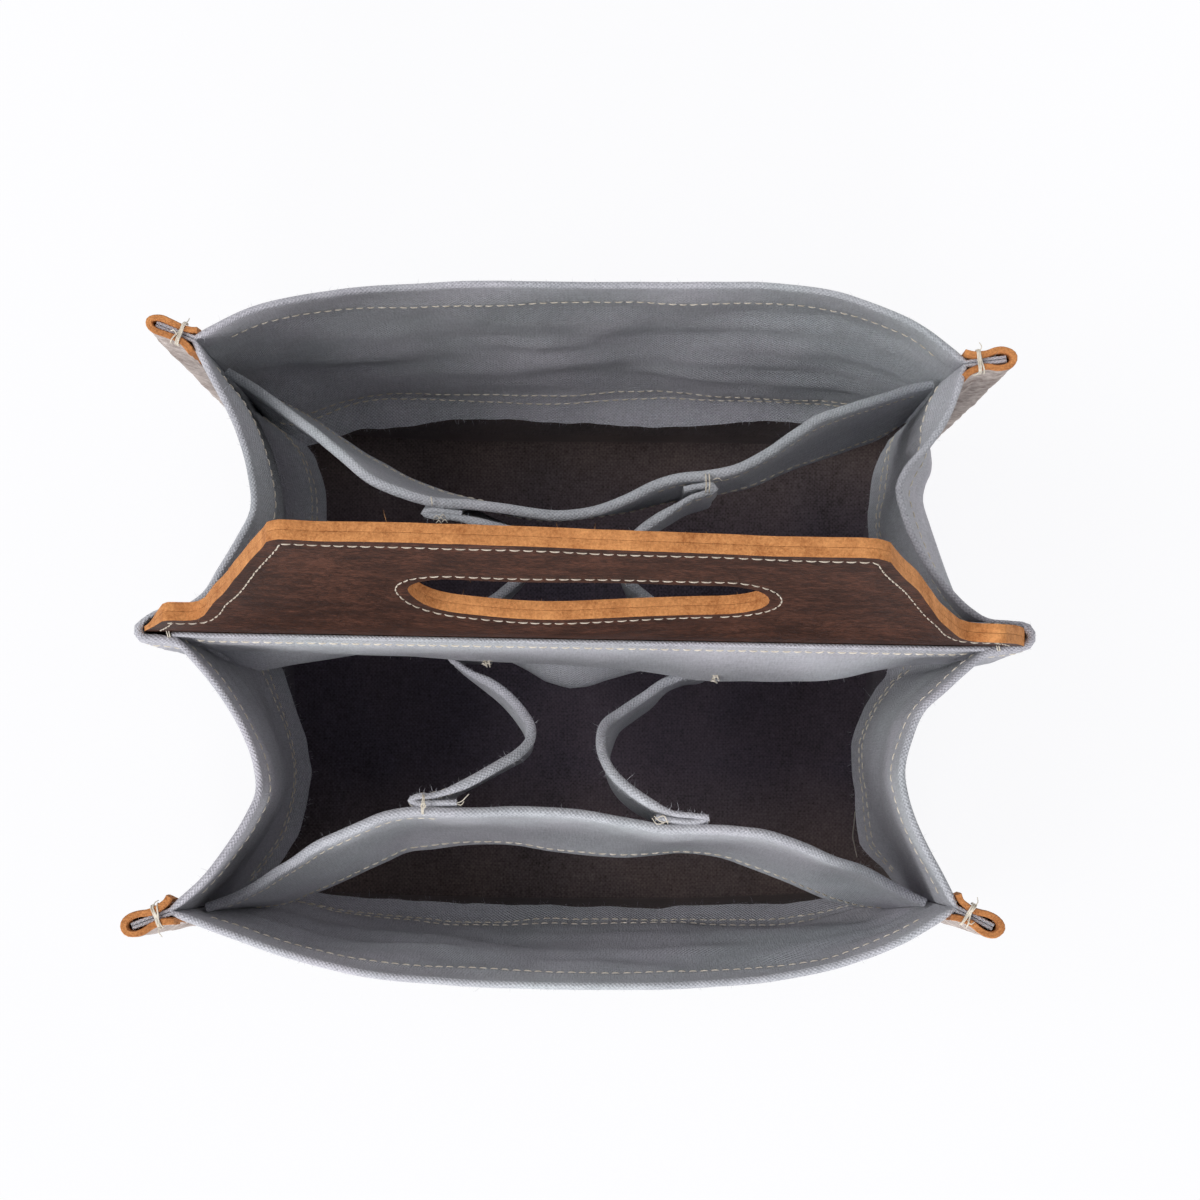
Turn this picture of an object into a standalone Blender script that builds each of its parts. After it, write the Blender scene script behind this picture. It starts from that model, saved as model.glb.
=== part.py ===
"""Canvas beer carrier for six bottles, standing open and empty, with a leather handle.

Metres, +Z up, the origin under the middle of the floor. The canvas pieces are thin sheets. Each one follows
a line seen from above, and the line changes with height. The front and right walls are drawn, and the back
and left ones are the same sheets turned half a turn, but only the right one swells below its rim.
"""

import math

import bmesh
import bpy
from mathutils import Vector

# Main sizes: between the corner seams at the rim, up to the rim, and from the rim to the handle's top
CORNER_WIDTH = 0.223
CORNER_DEPTH = 0.161
RIM_HEIGHT = 0.150
HANDLE_HEIGHT = 0.093

# Other heights above the ground
UPSTAND_HEIGHT = 0.058
RAW_EDGE_HEIGHT = 0.043
FOLD_START_HEIGHT = 0.020
FOLD_FULL_HEIGHT = 0.118

# Walls: how far they stand in from the corner seams, and how far front and back bow out
FLOOR_INSET_AT_SIDES = 0.0045
FLOOR_INSET_AT_FRONT = 0.0015
FLOOR_TUCK_INSET = 0.012
FLOOR_MIDDLE_INSET = 0.0105
RIM_TUCK_INSET = 0.018
TUCK_PLACE_SHARE = 0.534
RIM_BOW = 0.0203
FLOOR_BOW = -0.0015
BOW_POWER = 3.5

# Swell: below its rim, the back half of the right side panel stands out further than at the rim
SWELL = 0.0135
SWELL_BACK_END = 0.062

# Canvas
CANVAS_THICKNESS = 0.0013
HEM_THICKNESS = 0.0024
HEM_DEPTH = 0.015
HEM_STEP = 0.001
RIM_ROUNDING = 0.0005
BOTTOM_THICKNESS = 0.0013
FLOOR_THICKNESS = 0.0016
FLOOR_EDGE_ROUNDING = 0.0008
BOTTOM_MIDDLE_LEVEL = 0.022
CLEARANCE = 0.0003

# Corner seams: the two walls' edges stand out side by side in a fin, inside a folded strip of leather
FIN_DEPTH = 0.0125
FIN_LAYER_THICKNESS = 0.0011
FIN_ANGLE = math.radians(18)
BINDING_THICKNESS = 0.0022
BINDING_DEPTH = 0.0143
BINDING_LOOP_HALF_WIDTH = 0.0023
BINDING_START_AT_FLOOR = 0.0068
BINDING_START_AT_RIM = 0.0030
BINDING_LOW_END = 0.0006

# Handle: two layers of leather, whose lower part is sewn in below the rim
HANDLE_OVERHANG = 0.014
HANDLE_LAYER_THICKNESS = 0.0026
HANDLE_INSERT_DEPTH = 0.028
HANDLE_INSERT_TAPER = 0.004
HANDLE_LEAN = math.radians(10.5)
HANDLE_BEND_LENGTH = 0.012
SLOT_WIDTH = 0.097
SLOT_HEIGHT = 0.027
SLOT_MIDDLE = 0.049
SLOT_END_STEPS = 10

# Wrap: the side panel's fold round the end of the handle
WRAP_REACH = 0.0055
WRAP_LEG_LENGTH = 0.008
WRAP_THICKNESS = 0.0024
WRAP_CLEARANCE = 0.0004
WRAP_SPREAD_AT_FLOOR = 0.010

# Centre: a strip folded round the handle's lower edge, and a band outside it on each side
DIVIDER_LAYER_THICKNESS = 0.0012
DIVIDER_TOP_GAP = 0.0045
DIVIDER_HEIGHT = 0.050
DIVIDER_FOLD_RADIUS = 0.0012
DIVIDER_BELLY = 0.008
DIVIDER_BELLY_HALF_WIDTH = 0.026
DIVIDER_KNEE_SHARE = 0.45
BAND_HEIGHT = 0.034
BAND_END_GAP = 0.0085
BAND_BELLY = 0.003

# Divider strips: from corner to corner in front of each pocket, lower at the corner seams than between them
STRIP_HEIGHT = 0.048
STRIP_THICKNESS = 0.0022
STRIP_END_GAP = 0.0008
STRIP_END_DIP = 0.032
STRIP_DIP_START_SHARE = 0.45
STRIP_END_INSET_AT_TOP = 0.0045
STRIP_END_INSET_BELOW = 0.003
FRONT_STRIP_SAG_AT_TOP = 0.0245
FRONT_STRIP_SAG_BELOW = 0.0125
FRONT_STRIP_POWER = 2.5
BACK_STRIP_SAG_AT_TOP = 0.0405
BACK_STRIP_SAG_BELOW = 0.0405
BACK_STRIP_POWER = 1.6

# Cross dividers: curved strips, each end folded back in a tab
CROSS_HEIGHT = 0.046
CROSS_THICKNESS = 0.0019
CROSS_TAB = 0.012
CROSS_FOLD_REACH = 0.0011
CROSS_BULGE_LOSS = 0.006
CROSS_WAVE_SHARE = 0.25
CROSS_RISE_START_SHARE = 0.1
CROSS_LEVEL_SHARES = (0, 1 / 3, 2 / 3, 1)
CROSS_STEPS = 10
TAB_CLEARANCE = 0.0005
LEFT_CROSS_PLACE_AT_CENTRE = 0.041
RIGHT_CROSS_PLACE_AT_CENTRE = 0.038
FRONT_LEFT_CROSS_PLACE_AT_STRIP = 0.046
FRONT_RIGHT_CROSS_PLACE_AT_STRIP = 0.035
BACK_LEFT_CROSS_PLACE_AT_STRIP = 0.047
BACK_RIGHT_CROSS_PLACE_AT_STRIP = 0.037
FRONT_LEFT_CROSS_BULGE = 0.027
FRONT_RIGHT_CROSS_BULGE = 0.033
BACK_CROSS_BULGE = 0.029

# Points along a wall from its middle to the last one before the seam, as shares of half its width
WALL_SHARES = (0, 0.2, 0.4, 0.58, 0.74, 0.87)
# Two points at which the bottom's upstand ends, as shares of the stretch that ends at the seam
FRONT_FLAP_END_SHARES = (0.52, 0.57)
SIDE_FLAP_END_SHARES = (0.42, 0.50)
# Side panel from the seam to the tuck, each as (way out from the tuck, way back to the seam)
CORNER_TO_TUCK_SHARES = ((0.80, 0.82), (0.44, 0.45), (0.08, 0.18), (0, 0))
# Side panel from the tuck to the wrap, each as (way out to the wrap, way back to the tuck)
TUCK_TO_WRAP_SHARES = ((0.04, 0.80), (0.14, 0.57), (0.34, 0.36), (0.60, 0.17), (1, 0))
# Where the points of the wrap lie on the flat side at the floor, as shares of the spread there
WRAP_FLOOR_SHARES = (0.8, 0.6, 0.3, 0)
WRAP_TURNS = (math.radians(90), math.radians(60), math.radians(30), 0)
# Binding from its start to its tip, each as (share of its depth, share of the way from the fin to the loop)
BINDING_SHARES = ((0.56, 0), (0.76, 1), (0.90, 0.95), (0.98, 0.2))
# Handle's right edge above the rim, each as (share of half its end width, share of its height)
HANDLE_EDGE_SHARES = (
    (1, 0),
    (0.979, 0.070),
    (0.932, 0.225),
    (0.905, 0.218),
    (0.868, 0.198),
    (0.842, 0.240),
    (0.805, 0.355),
    (0.632, 0.950),
    (0.606, 1),
)
# Points along a divider strip, as shares of half its length
STRIP_SHARES = (0, 0.15, 0.3, 0.45, 0.6, 0.75, 0.88, 1)
BAND_SHARES = (0, 0.3, 0.6, 0.85, 1)
BELLY_SHARES = (0.6, 1)
BEND_SHARES = (0, 1 / 3, 2 / 3, 1)

# How finely points lie before they count as one, as a share of the clearance
MERGE_SHARE = 0.01

HANDLE_END_WIDTH = CORNER_WIDTH + 2 * HANDLE_OVERHANG
WRAP_ROOT_WIDTH = HANDLE_END_WIDTH - 2 * WRAP_LEG_LENGTH
BAND_WIDTH = WRAP_ROOT_WIDTH - 2 * BAND_END_GAP
FIN_DIRECTION = Vector((math.cos(FIN_ANGLE), -math.sin(FIN_ANGLE)))
FIN_FRONT_SIDE = Vector((-math.sin(FIN_ANGLE), -math.cos(FIN_ANGLE)))
FIN_HALF_THICKNESS = FIN_LAYER_THICKNESS + CLEARANCE / 2
HANDLE_HALF_THICKNESS = HANDLE_LAYER_THICKNESS + CLEARANCE / 2
WRAP_HALF_THICKNESS = HANDLE_HALF_THICKNESS + WRAP_CLEARANCE + WRAP_THICKNESS
DIVIDER_OUTER_FACE = HANDLE_HALF_THICKNESS + CLEARANCE + DIVIDER_LAYER_THICKNESS
BAND_INNER_FACE = DIVIDER_OUTER_FACE + CLEARANCE
BAND_LOW_EDGE = RIM_HEIGHT - BAND_HEIGHT
DIVIDER_LOW_EDGE = RIM_HEIGHT - DIVIDER_HEIGHT
STRIP_LOW_EDGE = RIM_HEIGHT - STRIP_HEIGHT
WALL_LEVELS = (
    RAW_EDGE_HEIGHT,
    UPSTAND_HEIGHT,
    (UPSTAND_HEIGHT + FOLD_FULL_HEIGHT) / 2,
    FOLD_FULL_HEIGHT,
    RIM_HEIGHT - HEM_DEPTH - HEM_STEP,
    RIM_HEIGHT - HEM_DEPTH,
    RIM_HEIGHT - RIM_ROUNDING,
    RIM_HEIGHT,
)


def mix(low, high, share):
    return low + (high - low) * share


def share_between(value, low, high):
    """How far the value is on its way from low to high, kept between 0 and 1."""
    return min(1, max(0, (value - low) / (high - low)))


def smooth(share):
    return share * share * (3 - 2 * share)


def flipped(points):
    """The points mirrored left to right, in the opposite order."""
    return [Vector((-p.x, p.y)) for p in reversed(points)]


def turned(points):
    """The points after half a turn about Z."""
    return [-p for p in points]


def offset_line(points, distances):
    """The line moved to its left, by one distance for each point."""
    sides = []
    for start, end in zip(points, points[1:]):
        run = (end - start).normalized()
        sides.append(Vector((-run.y, run.x)))
    moved = []
    for i, point in enumerate(points):
        before = sides[max(i - 1, 0)]
        after = sides[min(i, len(sides) - 1)]
        across = (before + after).normalized()
        moved.append(point + across * (distances[i] / across.dot(after)))
    return moved


def meeting(start, direction, other_start, other_direction):
    """Where the line through start meets the line through other_start."""
    gap = other_start - start
    share = gap.cross(other_direction) / direction.cross(other_direction)
    return start + direction * share


def at_height(points, z):
    return [Vector((p.x, p.y, z)) for p in points]


def value_on_line(points, axis, value):
    """The other coordinate of the point on the line whose coordinate on this axis is the value."""
    for start, end in zip(points, points[1:]):
        low, high = sorted((start[axis], end[axis]))
        if low <= value <= high and high > low:
            return mix(start[1 - axis], end[1 - axis], (value - start[axis]) / (end[axis] - start[axis]))
    nearest = min(points, key=lambda p: abs(p[axis] - value))
    return nearest[1 - axis]


def material(name, colour, roughness):
    made = bpy.data.materials.new(name)
    made.use_nodes = True
    shader = made.node_tree.nodes["Principled BSDF"]
    shader.inputs["Base Color"].default_value = (*colour, 1)
    shader.inputs["Roughness"].default_value = roughness
    return made


def add_object(name, mesh_data, finish):
    """One sub-part from a bmesh, facing outwards and shaded smooth where it is round."""
    bmesh.ops.recalc_face_normals(mesh_data, faces=mesh_data.faces)
    mesh = bpy.data.meshes.new(name)
    mesh_data.to_mesh(mesh)
    mesh_data.free()
    mesh.shade_smooth()
    mesh.set_sharp_from_angle(angle=math.radians(35))
    mesh.materials.append(finish)
    made = bpy.data.objects.new(name, mesh)
    bpy.context.scene.collection.objects.link(made)
    return made


def sheet_between(faces_a, faces_b):
    """A closed thin solid between two grids of points, given as rows of equal length."""
    made = bmesh.new()
    grid_a = [[made.verts.new(p) for p in row] for row in faces_a]
    grid_b = [[made.verts.new(p) for p in row] for row in faces_b]
    last_row = len(grid_a) - 1
    last_point = len(grid_a[0]) - 1
    for low in range(last_row):
        for i in range(last_point):
            for grid in (grid_a, grid_b):
                made.faces.new((grid[low][i], grid[low][i + 1], grid[low + 1][i + 1], grid[low + 1][i]))
        for i in (0, last_point):
            made.faces.new((grid_a[low][i], grid_a[low + 1][i], grid_b[low + 1][i], grid_b[low][i]))
    for row in (0, last_row):
        for i in range(last_point):
            made.faces.new((grid_a[row][i], grid_a[row][i + 1], grid_b[row][i + 1], grid_b[row][i]))
    return made


def seam_root(z):
    """Where the front right fin meets the walls, midway between them."""
    share = z / RIM_HEIGHT
    half_width = CORNER_WIDTH / 2 - mix(FLOOR_INSET_AT_SIDES, 0, share)
    half_depth = CORNER_DEPTH / 2 - mix(FLOOR_INSET_AT_FRONT, 0, share)
    return Vector((half_width, -half_depth))


def front_line(z, with_fins):
    """Outer face of the front wall, from left to right."""
    seam = seam_root(z) + FIN_FRONT_SIDE * FIN_HALF_THICKNESS
    bow = mix(FLOOR_BOW, RIM_BOW, z / RIM_HEIGHT)
    right = [Vector((seam.x * share, seam.y - bow * (1 - share**BOW_POWER))) for share in WALL_SHARES]
    last = right[-1]
    right += [last.lerp(seam, share) for share in FRONT_FLAP_END_SHARES]
    right.append(seam)
    if with_fins:
        right.append(seam + FIN_DIRECTION * FIN_DEPTH)
    return flipped(right[1:]) + right


def swell_at(depth, z):
    """How far the right side panel stands out at this depth behind the middle and at this height."""
    height_share = share_between(z, UPSTAND_HEIGHT, FOLD_FULL_HEIGHT)
    if z > FOLD_FULL_HEIGHT:
        height_share = share_between(z, RIM_HEIGHT, FOLD_FULL_HEIGHT)
    place = share_between(depth, WRAP_HALF_THICKNESS, SWELL_BACK_END)
    return SWELL * smooth(height_share) * math.sin(math.pi * place)


def right_line(z, with_fins, swells=False):
    """Outer face of a side panel, from front to back, as the right one is placed."""
    seam = seam_root(z) - FIN_FRONT_SIDE * FIN_HALF_THICKNESS
    fold = smooth(share_between(z, FOLD_START_HEIGHT, FOLD_FULL_HEIGHT))
    tuck_inset = mix(FLOOR_TUCK_INSET, RIM_TUCK_INSET, fold)
    tuck = Vector((CORNER_WIDTH / 2 - tuck_inset, -CORNER_DEPTH / 2 * TUCK_PLACE_SHARE))
    to_tuck = [
        Vector((mix(tuck.x, seam.x, out), mix(tuck.y, seam.y, back))) for out, back in CORNER_TO_TUCK_SHARES
    ]
    half = [seam]
    half += [seam.lerp(to_tuck[0], share) for share in SIDE_FLAP_END_SHARES]
    half += to_tuck
    flat_root = Vector((CORNER_WIDTH / 2 - FLOOR_MIDDLE_INSET, -WRAP_SPREAD_AT_FLOOR))
    wrap_root = Vector((WRAP_ROOT_WIDTH / 2, -WRAP_HALF_THICKNESS))
    for out, back in TUCK_TO_WRAP_SHARES:
        flat = Vector((mix(tuck.x, flat_root.x, out), mix(flat_root.y, tuck.y, back)))
        folded = Vector((mix(tuck.x, wrap_root.x, out), mix(wrap_root.y, tuck.y, back)))
        half.append(flat.lerp(folded, fold))
    for share, turn in zip(WRAP_FLOOR_SHARES, WRAP_TURNS):
        flat = Vector((flat_root.x, flat_root.y * share))
        out = HANDLE_END_WIDTH / 2 + WRAP_REACH * math.cos(turn)
        folded = Vector((out, -WRAP_HALF_THICKNESS * math.sin(turn)))
        half.append(flat.lerp(folded, fold))
    if with_fins:
        half.insert(0, seam + FIN_DIRECTION * FIN_DEPTH)
    back_half = [Vector((p.x, -p.y)) for p in reversed(half[:-1])]
    if swells:
        back_half = [Vector((p.x + swell_at(p.y, z), p.y)) for p in back_half]
    return half + back_half


def swelling_line(z, with_fins):
    return right_line(z, with_fins, swells=True)


def wall_thickness(z):
    return HEM_THICKNESS if z >= RIM_HEIGHT - HEM_DEPTH else CANVAS_THICKNESS


def wall_rounding(z):
    return RIM_ROUNDING if z == RIM_HEIGHT else 0


def front_thicknesses(z):
    count = len(front_line(z, True))
    inner = [wall_thickness(z)] * (count - 4)
    return [FIN_LAYER_THICKNESS] * 2 + inner + [FIN_LAYER_THICKNESS] * 2


def right_thicknesses(z):
    count = len(right_line(z, True))
    on_wrap = 2 * len(WRAP_TURNS) + 1
    plain = (count - on_wrap - 4) // 2
    values = [FIN_LAYER_THICKNESS] * 2 + [wall_thickness(z)] * plain
    values += [min(wall_thickness(z), WRAP_THICKNESS)] * on_wrap
    return values + [wall_thickness(z)] * plain + [FIN_LAYER_THICKNESS] * 2


def wall_faces(line, thicknesses, z):
    """Outer and inner face lines of a wall at one height, drawn in a little where the rim rounds off."""
    rounding = wall_rounding(z)
    outer = offset_line(line, [rounding] * len(line))
    inner = offset_line(line, [value - rounding for value in thicknesses])
    return outer, inner


def wall_solid(line_at, thicknesses_at, half_turn):
    outer_rows = []
    inner_rows = []
    for z in WALL_LEVELS:
        outer, inner = wall_faces(line_at(z, True), thicknesses_at(z), z)
        if half_turn:
            outer = turned(outer)
            inner = turned(inner)
        outer_rows.append(at_height(outer, z))
        inner_rows.append(at_height(inner, z))
    return sheet_between(outer_rows, inner_rows)


def bottom_rings(z, outward, inward):
    """Outer and inner loops of the bottom's upstand at one height, each a list of sides and corners."""
    front = front_line(z, False)
    right = right_line(z, False)
    root = seam_root(z)
    across = FIN_FRONT_SIDE * FIN_HALF_THICKNESS
    front_outer = offset_line(front, [-outward] * len(front))
    right_outer = offset_line(right, [-outward] * len(right))
    front_end = meeting(root + across, FIN_DIRECTION, front_outer[-2], front_outer[-1] - front_outer[-2])
    right_start = meeting(root - across, FIN_DIRECTION, right_outer[1], right_outer[0] - right_outer[1])
    tip = root + FIN_DIRECTION * FIN_DEPTH
    fin = [front_end, tip + across, tip - across, right_start]
    left_fin = flipped(fin)
    outer = [front_outer[1:-1], fin, right_outer[1:-1], turned(left_fin)]
    inner = [
        offset_line(front, [-inward] * len(front))[1:-1],
        [root],
        offset_line(right, [-inward] * len(right))[1:-1],
        [Vector((root.x, -root.y))],
    ]
    return outer, inner


def whole_loop(half):
    """Front side, front right corner, right side and back right corner, then the same after half a turn."""
    return half + [turned(stretch) for stretch in half]


def bottom_levels():
    """Heights of the outer and the inner loops, each as (height on the flaps, height elsewhere, outward)."""
    full = CLEARANCE + BOTTOM_THICKNESS
    below_walls = RAW_EDGE_HEIGHT - CLEARANCE
    upper = [
        (BOTTOM_MIDDLE_LEVEL, BOTTOM_MIDDLE_LEVEL),
        (below_walls, below_walls),
        (UPSTAND_HEIGHT, below_walls),
    ]
    outer = [(0, 0, full - FLOOR_EDGE_ROUNDING), (FLOOR_EDGE_ROUNDING, FLOOR_EDGE_ROUNDING, full)]
    outer += [(flap, rest, full) for flap, rest in upper]
    inner = [(FLOOR_THICKNESS, FLOOR_THICKNESS, full)]
    inner += [(flap, rest, full) for flap, rest in upper]
    return outer, inner


def bottom_loop_points(flap_height, rest_height, outward, wanted):
    """One loop of the bottom as stretches of 3-D points. A flap is all of a side but its end points."""
    high = whole_loop(bottom_rings(flap_height, outward, CLEARANCE)[wanted])
    low = whole_loop(bottom_rings(rest_height, outward, CLEARANCE)[wanted])
    loop = []
    for place, (high_stretch, low_stretch) in enumerate(zip(high, low)):
        points = at_height(low_stretch, rest_height)
        if place % 2 == 0:
            points[1:-1] = at_height(high_stretch[1:-1], flap_height)
        loop.append(points)
    return loop


def bottom_solid():
    made = bmesh.new()

    def add_loop(stretches):
        return [[made.verts.new(p) for p in stretch] for stretch in stretches]

    outer_levels, inner_levels = bottom_levels()
    outer = [add_loop(bottom_loop_points(flap, rest, outward, 0)) for flap, rest, outward in outer_levels]
    inner = [add_loop(bottom_loop_points(flap, rest, outward, 1)) for flap, rest, outward in inner_levels]
    for levels in (outer, inner):
        loops = [[vertex for stretch in level for vertex in stretch] for level in levels]
        for low, high in zip(loops, loops[1:]):
            for i in range(len(low)):
                follower = (i + 1) % len(low)
                made.faces.new((low[i], low[follower], high[follower], high[i]))
        made.faces.new(loops[0])
    top_outer = outer[-1]
    top_inner = inner[-1]
    for place in range(0, len(top_outer), 2):
        side, inner_side = top_outer[place], top_inner[place]
        for i in range(len(side) - 1):
            made.faces.new((side[i], side[i + 1], inner_side[i + 1], inner_side[i]))
        fin, root = top_outer[place + 1], top_inner[place + 1][0]
        following = (place + 2) % len(top_outer)
        made.faces.new((side[-1], fin[0], root, inner_side[-1]))
        made.faces.new((*fin, root))
        made.faces.new((fin[-1], top_outer[following][0], top_inner[following][0], root))
    bmesh.ops.remove_doubles(made, verts=made.verts, dist=CLEARANCE * MERGE_SHARE)
    return made


def binding_solid(x_side, y_side):
    """Leather folded round the fin at one corner, drawn for the front right one and mirrored to its own."""
    gap = FIN_HALF_THICKNESS + CLEARANCE
    inner_rows = []
    outer_rows = []
    for z in (BINDING_LOW_END, UPSTAND_HEIGHT, (UPSTAND_HEIGHT + RIM_HEIGHT) / 2, RIM_HEIGHT):
        root = seam_root(z)
        start = mix(BINDING_START_AT_FLOOR, BINDING_START_AT_RIM, smooth(z / RIM_HEIGHT))
        front_leg = [(start, gap)]
        for along, loop in BINDING_SHARES:
            front_leg.append((BINDING_DEPTH * along, mix(gap, BINDING_LOOP_HALF_WIDTH, loop)))
        both = front_leg + [(BINDING_DEPTH, 0)] + [(along, -out) for along, out in reversed(front_leg)]
        line = [root + FIN_DIRECTION * along + FIN_FRONT_SIDE * out for along, out in both]
        outside = offset_line(line, [-BINDING_THICKNESS] * len(line))
        inner_rows.append([Vector((p.x * x_side, p.y * y_side, z)) for p in line])
        outer_rows.append([Vector((p.x * x_side, p.y * y_side, z)) for p in outside])
    return sheet_between(outer_rows, inner_rows)


def handle_outline():
    """Edge of the handle leather, as (x, height above the rim), all round."""
    half_end = HANDLE_END_WIDTH / 2
    right = [Vector((half_end - HANDLE_INSERT_TAPER, -HANDLE_INSERT_DEPTH))]
    right += [Vector((half_end * out, HANDLE_HEIGHT * up)) for out, up in HANDLE_EDGE_SHARES]
    return right + flipped(right)


def slot_outline():
    radius = SLOT_HEIGHT / 2
    middle = SLOT_WIDTH / 2 - radius
    points = []
    for side in (1, -1):
        for step in range(SLOT_END_STEPS + 1):
            turn = math.pi * (step / SLOT_END_STEPS - 0.5)
            out = middle + radius * math.cos(turn)
            points.append(Vector((side * out, SLOT_MIDDLE + side * radius * math.sin(turn))))
    return points


def handle_point(x, across, up):
    """A point of the handle after its bend: upright below the rim, leaning back above it."""
    bend_radius = HANDLE_BEND_LENGTH / HANDLE_LEAN
    turn = min(max(up, 0), HANDLE_BEND_LENGTH) / bend_radius
    straight = up - bend_radius * turn
    y = bend_radius * (1 - math.cos(turn)) + straight * math.sin(turn) + across * math.cos(turn)
    z = bend_radius * math.sin(turn) + straight * math.cos(turn) - across * math.sin(turn)
    return Vector((x, y, RIM_HEIGHT + z))


def handle_solid(front_face, back_face):
    """One layer of the handle between two distances from its middle plane."""
    made = bmesh.new()
    for outline in (handle_outline(), slot_outline()):
        ring = [made.verts.new((p.x, front_face, p.y)) for p in outline]
        for start, end in zip(ring, ring[1:] + ring[:1]):
            made.edges.new((start, end))
    bmesh.ops.triangle_fill(made, use_beauty=True, edges=made.edges[:])
    face_list = made.faces[:]
    extruded = bmesh.ops.extrude_face_region(made, geom=face_list, use_keep_orig=True)
    moved = [item for item in extruded["geom"] if isinstance(item, bmesh.types.BMVert)]
    for vertex in moved:
        vertex.co.y = back_face
    for share in BEND_SHARES:
        everything = made.verts[:] + made.edges[:] + made.faces[:]
        level = Vector((0, 0, HANDLE_BEND_LENGTH * share))
        bmesh.ops.bisect_plane(made, geom=everything, plane_co=level, plane_no=Vector((0, 0, 1)))
    for vertex in made.verts:
        vertex.co = handle_point(*vertex.co)
    return made


def divider_solid():
    """The centre strip: two legs beside the handle's lower edge, and a fold below it."""
    leg = DIVIDER_OUTER_FACE - DIVIDER_LAYER_THICKNESS / 2
    fold_middle = DIVIDER_LOW_EDGE + DIVIDER_LAYER_THICKNESS / 2
    leg_foot = RIM_HEIGHT - HANDLE_INSERT_DEPTH
    fold_top = fold_middle + DIVIDER_FOLD_RADIUS
    turn = math.radians(45)
    front = [
        Vector((-leg, RIM_HEIGHT - DIVIDER_TOP_GAP)),
        Vector((-leg, leg_foot)),
        Vector((-DIVIDER_FOLD_RADIUS, fold_top)).lerp(Vector((-leg, leg_foot)), DIVIDER_KNEE_SHARE),
        Vector((-DIVIDER_FOLD_RADIUS, fold_top)),
        Vector((-DIVIDER_FOLD_RADIUS * math.cos(turn), fold_top - DIVIDER_FOLD_RADIUS * math.sin(turn))),
    ]
    section = front + [Vector((0, fold_middle))] + flipped(front)
    half_layer = DIVIDER_LAYER_THICKNESS / 2
    outside = offset_line(section, [-half_layer] * len(section))
    inside = offset_line(section, [half_layer] * len(section))
    half_width = BAND_WIDTH / 2
    places = {side * half_width * share for share in BAND_SHARES for side in (-1, 1)}
    places |= {side * DIVIDER_BELLY_HALF_WIDTH * share for share in BELLY_SHARES for side in (-1, 1)}
    places = sorted(places)

    def row(line_point):
        points = []
        for x in places:
            out = max(0, 1 - (x / DIVIDER_BELLY_HALF_WIDTH) ** 2) ** 2
            depth = share_between(line_point.y, BAND_LOW_EDGE, DIVIDER_LOW_EDGE)
            points.append(Vector((x, line_point.x - DIVIDER_BELLY * out * depth, line_point.y)))
        return points

    return sheet_between([row(p) for p in outside], [row(p) for p in inside])


def band_solid(y_side):
    outer_rows = []
    inner_rows = []
    hem_start = RIM_HEIGHT - HEM_DEPTH
    for z in (BAND_LOW_EDGE, hem_start - HEM_STEP, hem_start, RIM_HEIGHT - RIM_ROUNDING, RIM_HEIGHT):
        rounding = wall_rounding(z)
        belly = BAND_BELLY * share_between(z, RIM_HEIGHT, BAND_LOW_EDGE)
        outer = []
        inner = []
        for share in [-s for s in reversed(BAND_SHARES[1:])] + list(BAND_SHARES):
            x = BAND_WIDTH / 2 * share
            face = BAND_INNER_FACE + belly * (1 - share**2)
            inner.append(Vector((x, y_side * (face + rounding), z)))
            outer.append(Vector((x, y_side * (face + wall_thickness(z) - rounding), z)))
        inner_rows.append(inner)
        outer_rows.append(outer)
    return sheet_between(outer_rows, inner_rows)


def side_face_at(depth, z):
    """How far out the inner face of a side panel is at this depth from the middle, near the seam."""
    line = right_line(z, False)
    count = len(CORNER_TO_TUCK_SHARES) + len(SIDE_FLAP_END_SHARES) + 1
    inner = offset_line(line, [wall_thickness(z)] * len(line))
    return value_on_line(inner[:count], 1, -depth)


def strip_sizes(y_side):
    """How far a strip sags inwards at its top and at its lower edge, and the power of its curve."""
    if y_side < 0:
        return FRONT_STRIP_SAG_AT_TOP, FRONT_STRIP_SAG_BELOW, FRONT_STRIP_POWER
    return BACK_STRIP_SAG_AT_TOP, BACK_STRIP_SAG_BELOW, BACK_STRIP_POWER


def strip_line(y_side, z):
    """Middle of a divider strip's thickness, from left to right, with depths counted outwards from y = 0."""
    top_sag, low_sag, power = strip_sizes(y_side)
    down = share_between(z, RIM_HEIGHT, STRIP_LOW_EDGE)
    end_depth = CORNER_DEPTH / 2 - mix(STRIP_END_INSET_AT_TOP, STRIP_END_INSET_BELOW, down)
    middle = end_depth - mix(top_sag, low_sag, down)
    end_face = side_face_at(end_depth - STRIP_THICKNESS / 2, z - STRIP_END_DIP)
    end = end_face - STRIP_END_GAP - STRIP_THICKNESS / 2
    right = [Vector((end * share, mix(middle, end_depth, share**power))) for share in STRIP_SHARES]
    return flipped(right[1:]) + right


def strip_dips():
    """How far each point along a strip lies below the same point of a level one."""
    right = [STRIP_END_DIP * share_between(s, STRIP_DIP_START_SHARE, 1) ** 2 for s in STRIP_SHARES]
    return right[:0:-1] + right


def strip_solid(y_side):
    rows_a = []
    rows_b = []
    dips = strip_dips()
    levels = (STRIP_LOW_EDGE, (STRIP_LOW_EDGE + RIM_HEIGHT) / 2, RIM_HEIGHT - RIM_ROUNDING, RIM_HEIGHT)
    for z in levels:
        line = strip_line(y_side, z)
        half = STRIP_THICKNESS / 2 - wall_rounding(z)
        for rows, out in ((rows_a, half), (rows_b, -half)):
            moved = offset_line(line, [out] * len(line))
            rows.append([Vector((p.x, p.y * y_side, z - dip)) for p, dip in zip(moved, dips)])
    return sheet_between(rows_a, rows_b)


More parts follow.
